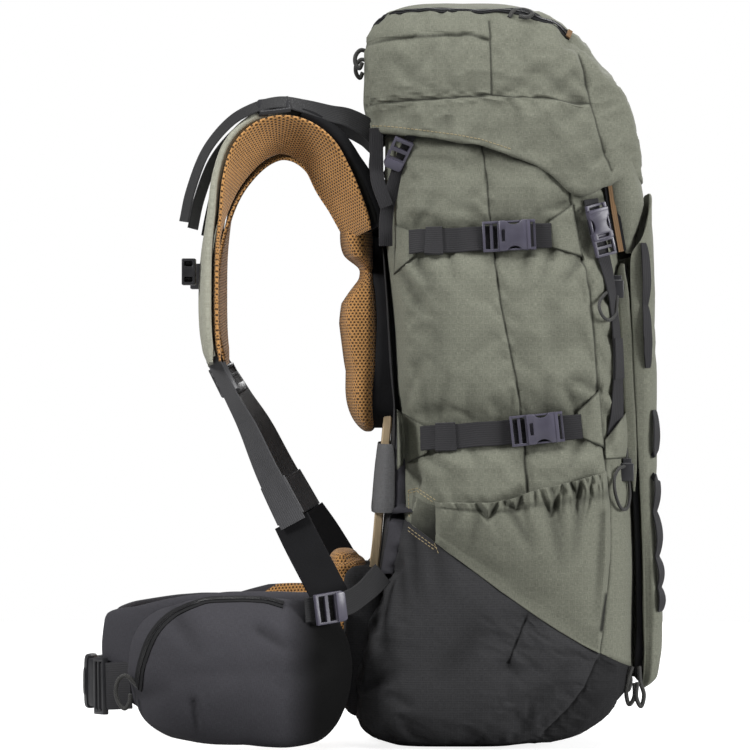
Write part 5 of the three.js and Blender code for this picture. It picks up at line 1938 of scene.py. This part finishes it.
for j, z in enumerate(edge_heights):
    hit = pad_tree.ray_cast(Vector((-2 * MM, -0.3, z * MM)), Vector((0, 1, 0)))[0]
    side_y = hit.y if hit else grid[j - 1, 0, 1]
    inner = board_face(-30, z) + 40 * MM
    border = np.interp(z, (322, 345, 386, 437, 470, 486, 502, 546), (-8, -5, 0, 2, 0, -5, -8, -10)) * MM
    for i, share in enumerate(edge_shares):
        x = border + share * max(inner - border, 6 * MM)
        grid[j, i] = x, side_y - (1.5 - 1.0 * share) * MM, z * MM
pad_edge = sheet_of("pad_edge_left", eased(grid, 2, 4, ring=False), 1.5)
for piece in dressed_pair(pad_edge, black):
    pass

# The zips: a dark woven tape with a raised nylon coil, sewn into the cloth.
# One runs round the top of the lid and one over each hip pocket.


def laid_near(tree, points, count, lift):
    """A path on the nearest cloth to a rough route, with its sides and outward faces."""
    rough = smooth_line(points, count) * MM
    path = np.empty((count, 3))
    face = np.empty((count, 3))
    for k, place in enumerate(rough):
        path[k], face[k], _, _ = tree.find_nearest(Vector(place))
    path, face = eased(path, 0, 8), eased(face, 0, 8)
    return with_sides(path + unit(face) * lift * MM, face)


def zip_tape(name, colour, tooth=0.0015, thread=0.0009):
    """Woven tape with a coil down its middle."""
    material, sockets, wire = new_finish(name, 0.6, gloss=0.2)
    u, v = weave_map(wire)
    middle = abs(u)
    coil = 1 - middle.smooth(0.0016, 0.0020)
    teeth = v.zigzag(tooth) * 2
    gap = 1 - middle.smooth(0.0001, 0.0005)
    rows = u.zigzag(thread) * 2
    tone = coil * (0.5 + teeth * 0.9 - gap * 0.6) + (1 - coil) * (0.8 + rows * 0.3)
    height = coil * (teeth + 0.5) + (1 - coil) * rows * 0.3 - gap
    return wired(material, sockets, tone.tint(colour), 0.75 - coil * 0.3, height, 0.7, 0.0006)


zip_finish = zip_tape("zip_tape", (0.012, 0.012, 0.013))
zip_section = (
    (-1, -1), (1, -1), (1, 0.1), (0.34, 0.2), (0.26, 1), (-0.26, 1), (-0.34, 0.2), (-1, 0.1),
)
lid_tree = tree_of(lid)
lid_zip_half = (
    (196, -104, 724), (170, -112, 738), (130, -112, 748), (80, -110, 752), (40, -104, 750),
    (14, -86, 744), (2, -50, 742),
)
lid_zip_route = (*lid_zip_half, (-2, 0, 742), *[(x, -y, z) for x, y, z in lid_zip_half[::-1]])
lid_zip_way = laid_near(lid_tree, lid_zip_route, 260, 0.6)
zip_width = 12
zip_thick = 2.2
lid_zip = joined("lid_zip", [band(lid_zip_way, zip_width, zip_thick, zip_section)])
dressed(lid_zip, zip_finish)
hip_tree = tree_of(hip_pocket)
hip_zip_route = (
    (-238, 66), (-234, 90), (-223, 119), (-205, 139), (-180, 151), (-160, 155), (-115, 155),
    (-92, 150),
)
hip_zip_way = laid_on(hip_tree, smooth_line(hip_zip_route, 160), 0.8, settle=14)
hip_zip = joined("hip_zip_left", [band(hip_zip_way, zip_width, zip_thick, zip_section)])
_, far_zip = dressed_pair(hip_zip, zip_finish)
slackened(far_zip)

# The draw cords: thin braided elastic in loops, on the zip pulls and through two cord locks a side.
# Both ends of each are sewn in or knotted to the pack, and the loop hangs on the cloth.


def tube(points, diameter, corners=10):
    """A round cord along points: the band that makes it, and its centre line."""
    count = 6 * len(points)
    path = smooth_line(points, count) * MM
    return band(with_sides(path, (0, 1, 0.05)), diameter, diameter, pillow(corners, 2)), path


def braid(name, colour, fleck_colour, pitch=0.0022):
    """Braided elastic with light flecks."""
    material, sockets, wire = new_finish(name, 0.7, sheen=0.1)
    u, v = weave_map(wire)
    twist = (v + u * 1.5).zigzag(pitch) * 2
    fleck = twist.smooth(0.78, 0.92)
    shade = fleck.mixed((*colour, 1), (*fleck_colour, 1))
    return wired(material, sockets, shade, 0.75 - fleck * 0.1, twist, 0.5, 0.0004)


elastic = braid("braided_elastic", (0.012, 0.012, 0.012), (0.09, 0.088, 0.075))
cord_thick = 3.4
pull_thick = 4.4
# x, z and the distance in front of the cloth along each cord, from where it leaves the pack
cords = {
    "upper_draw_cord": (
        bag_tree,
        (
            (252, 458, 2), (249, 466, 7), (241, 467, 8), (232, 462, 8), (226, 452, 9), (229, 441, 9),
            (236, 436, 10), (243, 441, 11), (245, 450, 12), (246, 461, 12),
        ),
    ),
    "lower_draw_cord": (
        bag_tree,
        (
            (255, 311, 2), (256, 298, 5), (254, 289, 7), (247, 286, 7), (242, 276, 7), (243, 260, 8),
            (249, 246, 8), (256, 246, 9), (259, 258, 10), (258, 273, 10),
        ),
    ),
    "foot_pull_1": (
        pouch_tree,
        ((262, 84, 4), (258, 71, 6), (256, 56, 6), (259, 45, 7), (264, 53, 8), (264, 67, 8)),
    ),
    "foot_pull_2": (
        pouch_tree,
        ((269, 84, 4), (270, 69, 6), (274, 55, 6), (271, 43, 7), (266, 53, 9), (267, 68, 9)),
    ),
    # this one stands free of the cloth, so its rows are x, y and z
    "lid_pull": (
        None,
        ((-8, -66, 714), (-15, -67, 715), (-20, -68, 709), (-20, -70, 701), (-16, -72, 696), (-13, -71, 702)),
    ),
    "top_pull": (
        lid_tree,
        ((136, 744, 0), (142, 752, 3), (152, 754, 3), (160, 749, 4), (155, 744, 5), (146, 745, 5)),
    ),
    "hip_pull": (
        hip_tree,
        (
            (-238, 67, 0), (-250, 78, 1), (-258, 74, 2), (-261, 62, 2), (-258, 51, 3), (-252, 45, 3),
            (-247, 51, 4), (-246, 60, 4),
        ),
    ),
}
for name, (tree, rows) in cords.items():
    points = rows
    if tree:
        points = [(x, from_left(tree, x, z)[0].y / MM - front, z) for x, z, front in rows]
    for hand, sign in zip(SIDES, (1, -1)):
        thick = pull_thick if "pull" in name else cord_thick
        part, line = tube(np.array(points) * (1, sign, 1), thick)
        cord = dressed(joined(f"{name}_{hand}", [part], crease=70), elastic)
        thick * MM

# The cord locks: small black moulded barrels, one on each draw cord.
# A spring button at the top of the barrel lets the cord run.
for name, (x, z) in {"upper_cord_lock": (246, 468), "lower_cord_lock": (256, 282)}.items():
    y = from_left(bag_tree, x, z)[0].y / MM - 9
    barrel = add_block(x - 6.5, x + 6.5, y - 5, y + 5, z - 9, z + 9)
    combined(barrel, add_block(x - 4.5, x + 4.5, y - 3.6, y + 3.6, z + 8, z + 14), "UNION")
    rounded(barrel, 2.2, 3)
    barrel.data.transform(Matrix.Scale(MM, 4))
    barrel.name = f"{name}_left"
    dressed_pair(barrel, black_plastic)

# The tan strip: a narrow brown woven tape that shows between the lid strap and the front pocket.
# A wider band of black cloth behind it paints the shadow along its edges, and the same tape ends the lid's
# zip.
tan_tape = woven_strap("tan_tape", (0.155, 0.09, 0.042), depth=0.2)
path = smooth_line(((239, -127, 573), (243, -126, 545), (250, -125, 506)), 30) * MM
strip_width = 5.6
strip_thick = 1.4
gap_width = 13
zip_end_width = 11
strip_way = with_sides(path, (0.3, -1, 0))
# painted shadow: the black band behind the tan strip shows as dark edges on both sides of it
strip_shadow = joined("strip_gap_left", [band(lifted(strip_way, -1.6), gap_width, strip_thick)])
dressed_pair(strip_shadow, black)
zip_end = lifted(stretch(lid_zip_way, 0, 4), 1.6)
strip_parts = [band(strip_way, strip_width, strip_thick), band(zip_end, zip_end_width, zip_thick)]
strip = joined("tan_strip_left", strip_parts)
dressed_pair(strip, tan_tape)

# The stitches: pale tan thread in short raised runs, along the edges that show them.
# They follow the lid's hem and the rims of the side openings.
thread, sockets, _ = new_finish("tan_thread", 0.7)
sockets["Base Color"].default_value = (0.30, 0.24, 0.13, 1)
stitch_long = 2.6
stitch_pitch = 4.0
stitch_lift = 0.3
thread_width = 0.8
thread_high = 0.7


def stitches(tree, corners):
    """Short runs of thread along a line on cloth that is seen from the left."""
    corners = np.array(corners, float)
    steps = np.linalg.norm(np.diff(corners, axis=0), axis=1)
    total = steps.sum()
    reach = np.r_[0, np.cumsum(steps)]
    parts = []
    for start in np.arange(0, total - stitch_long, stitch_pitch):
        at = np.linspace(start, start + stitch_long, 4)
        line = np.stack([np.interp(at, reach, corners[:, 0]), np.interp(at, reach, corners[:, 1])], -1)
        way = laid_on(tree, line, stitch_lift, settle=0)
        parts.append(band(way, thread_width, thread_high, pillow(6, 2)))
    return parts


lid_hem = ((-3, 635), (37, 629.5), (80, 623.5), (106, 619), (140, 608))
stitch_rows = (
    (lid_tree, lid_hem),
    (base_tree, ((34, 226), (64, 205))),
    (base_tree, ((34, 222.5), (62, 203))),
    (base_tree, ((60, 211), (64, 201))),
    (bag_tree, ((34, 263), (43, 266), (62, 254))),
    (bag_tree, ((35, 260.5), (43, 263), (60, 251.5))),
    (bag_tree, ((34, 263), (35, 236))),
)
parts = [part for tree, line in stitch_rows for part in stitches(tree, line)]
thread_runs = joined("stitches_left", parts, crease=60)
dressed_pair(thread_runs, thread)
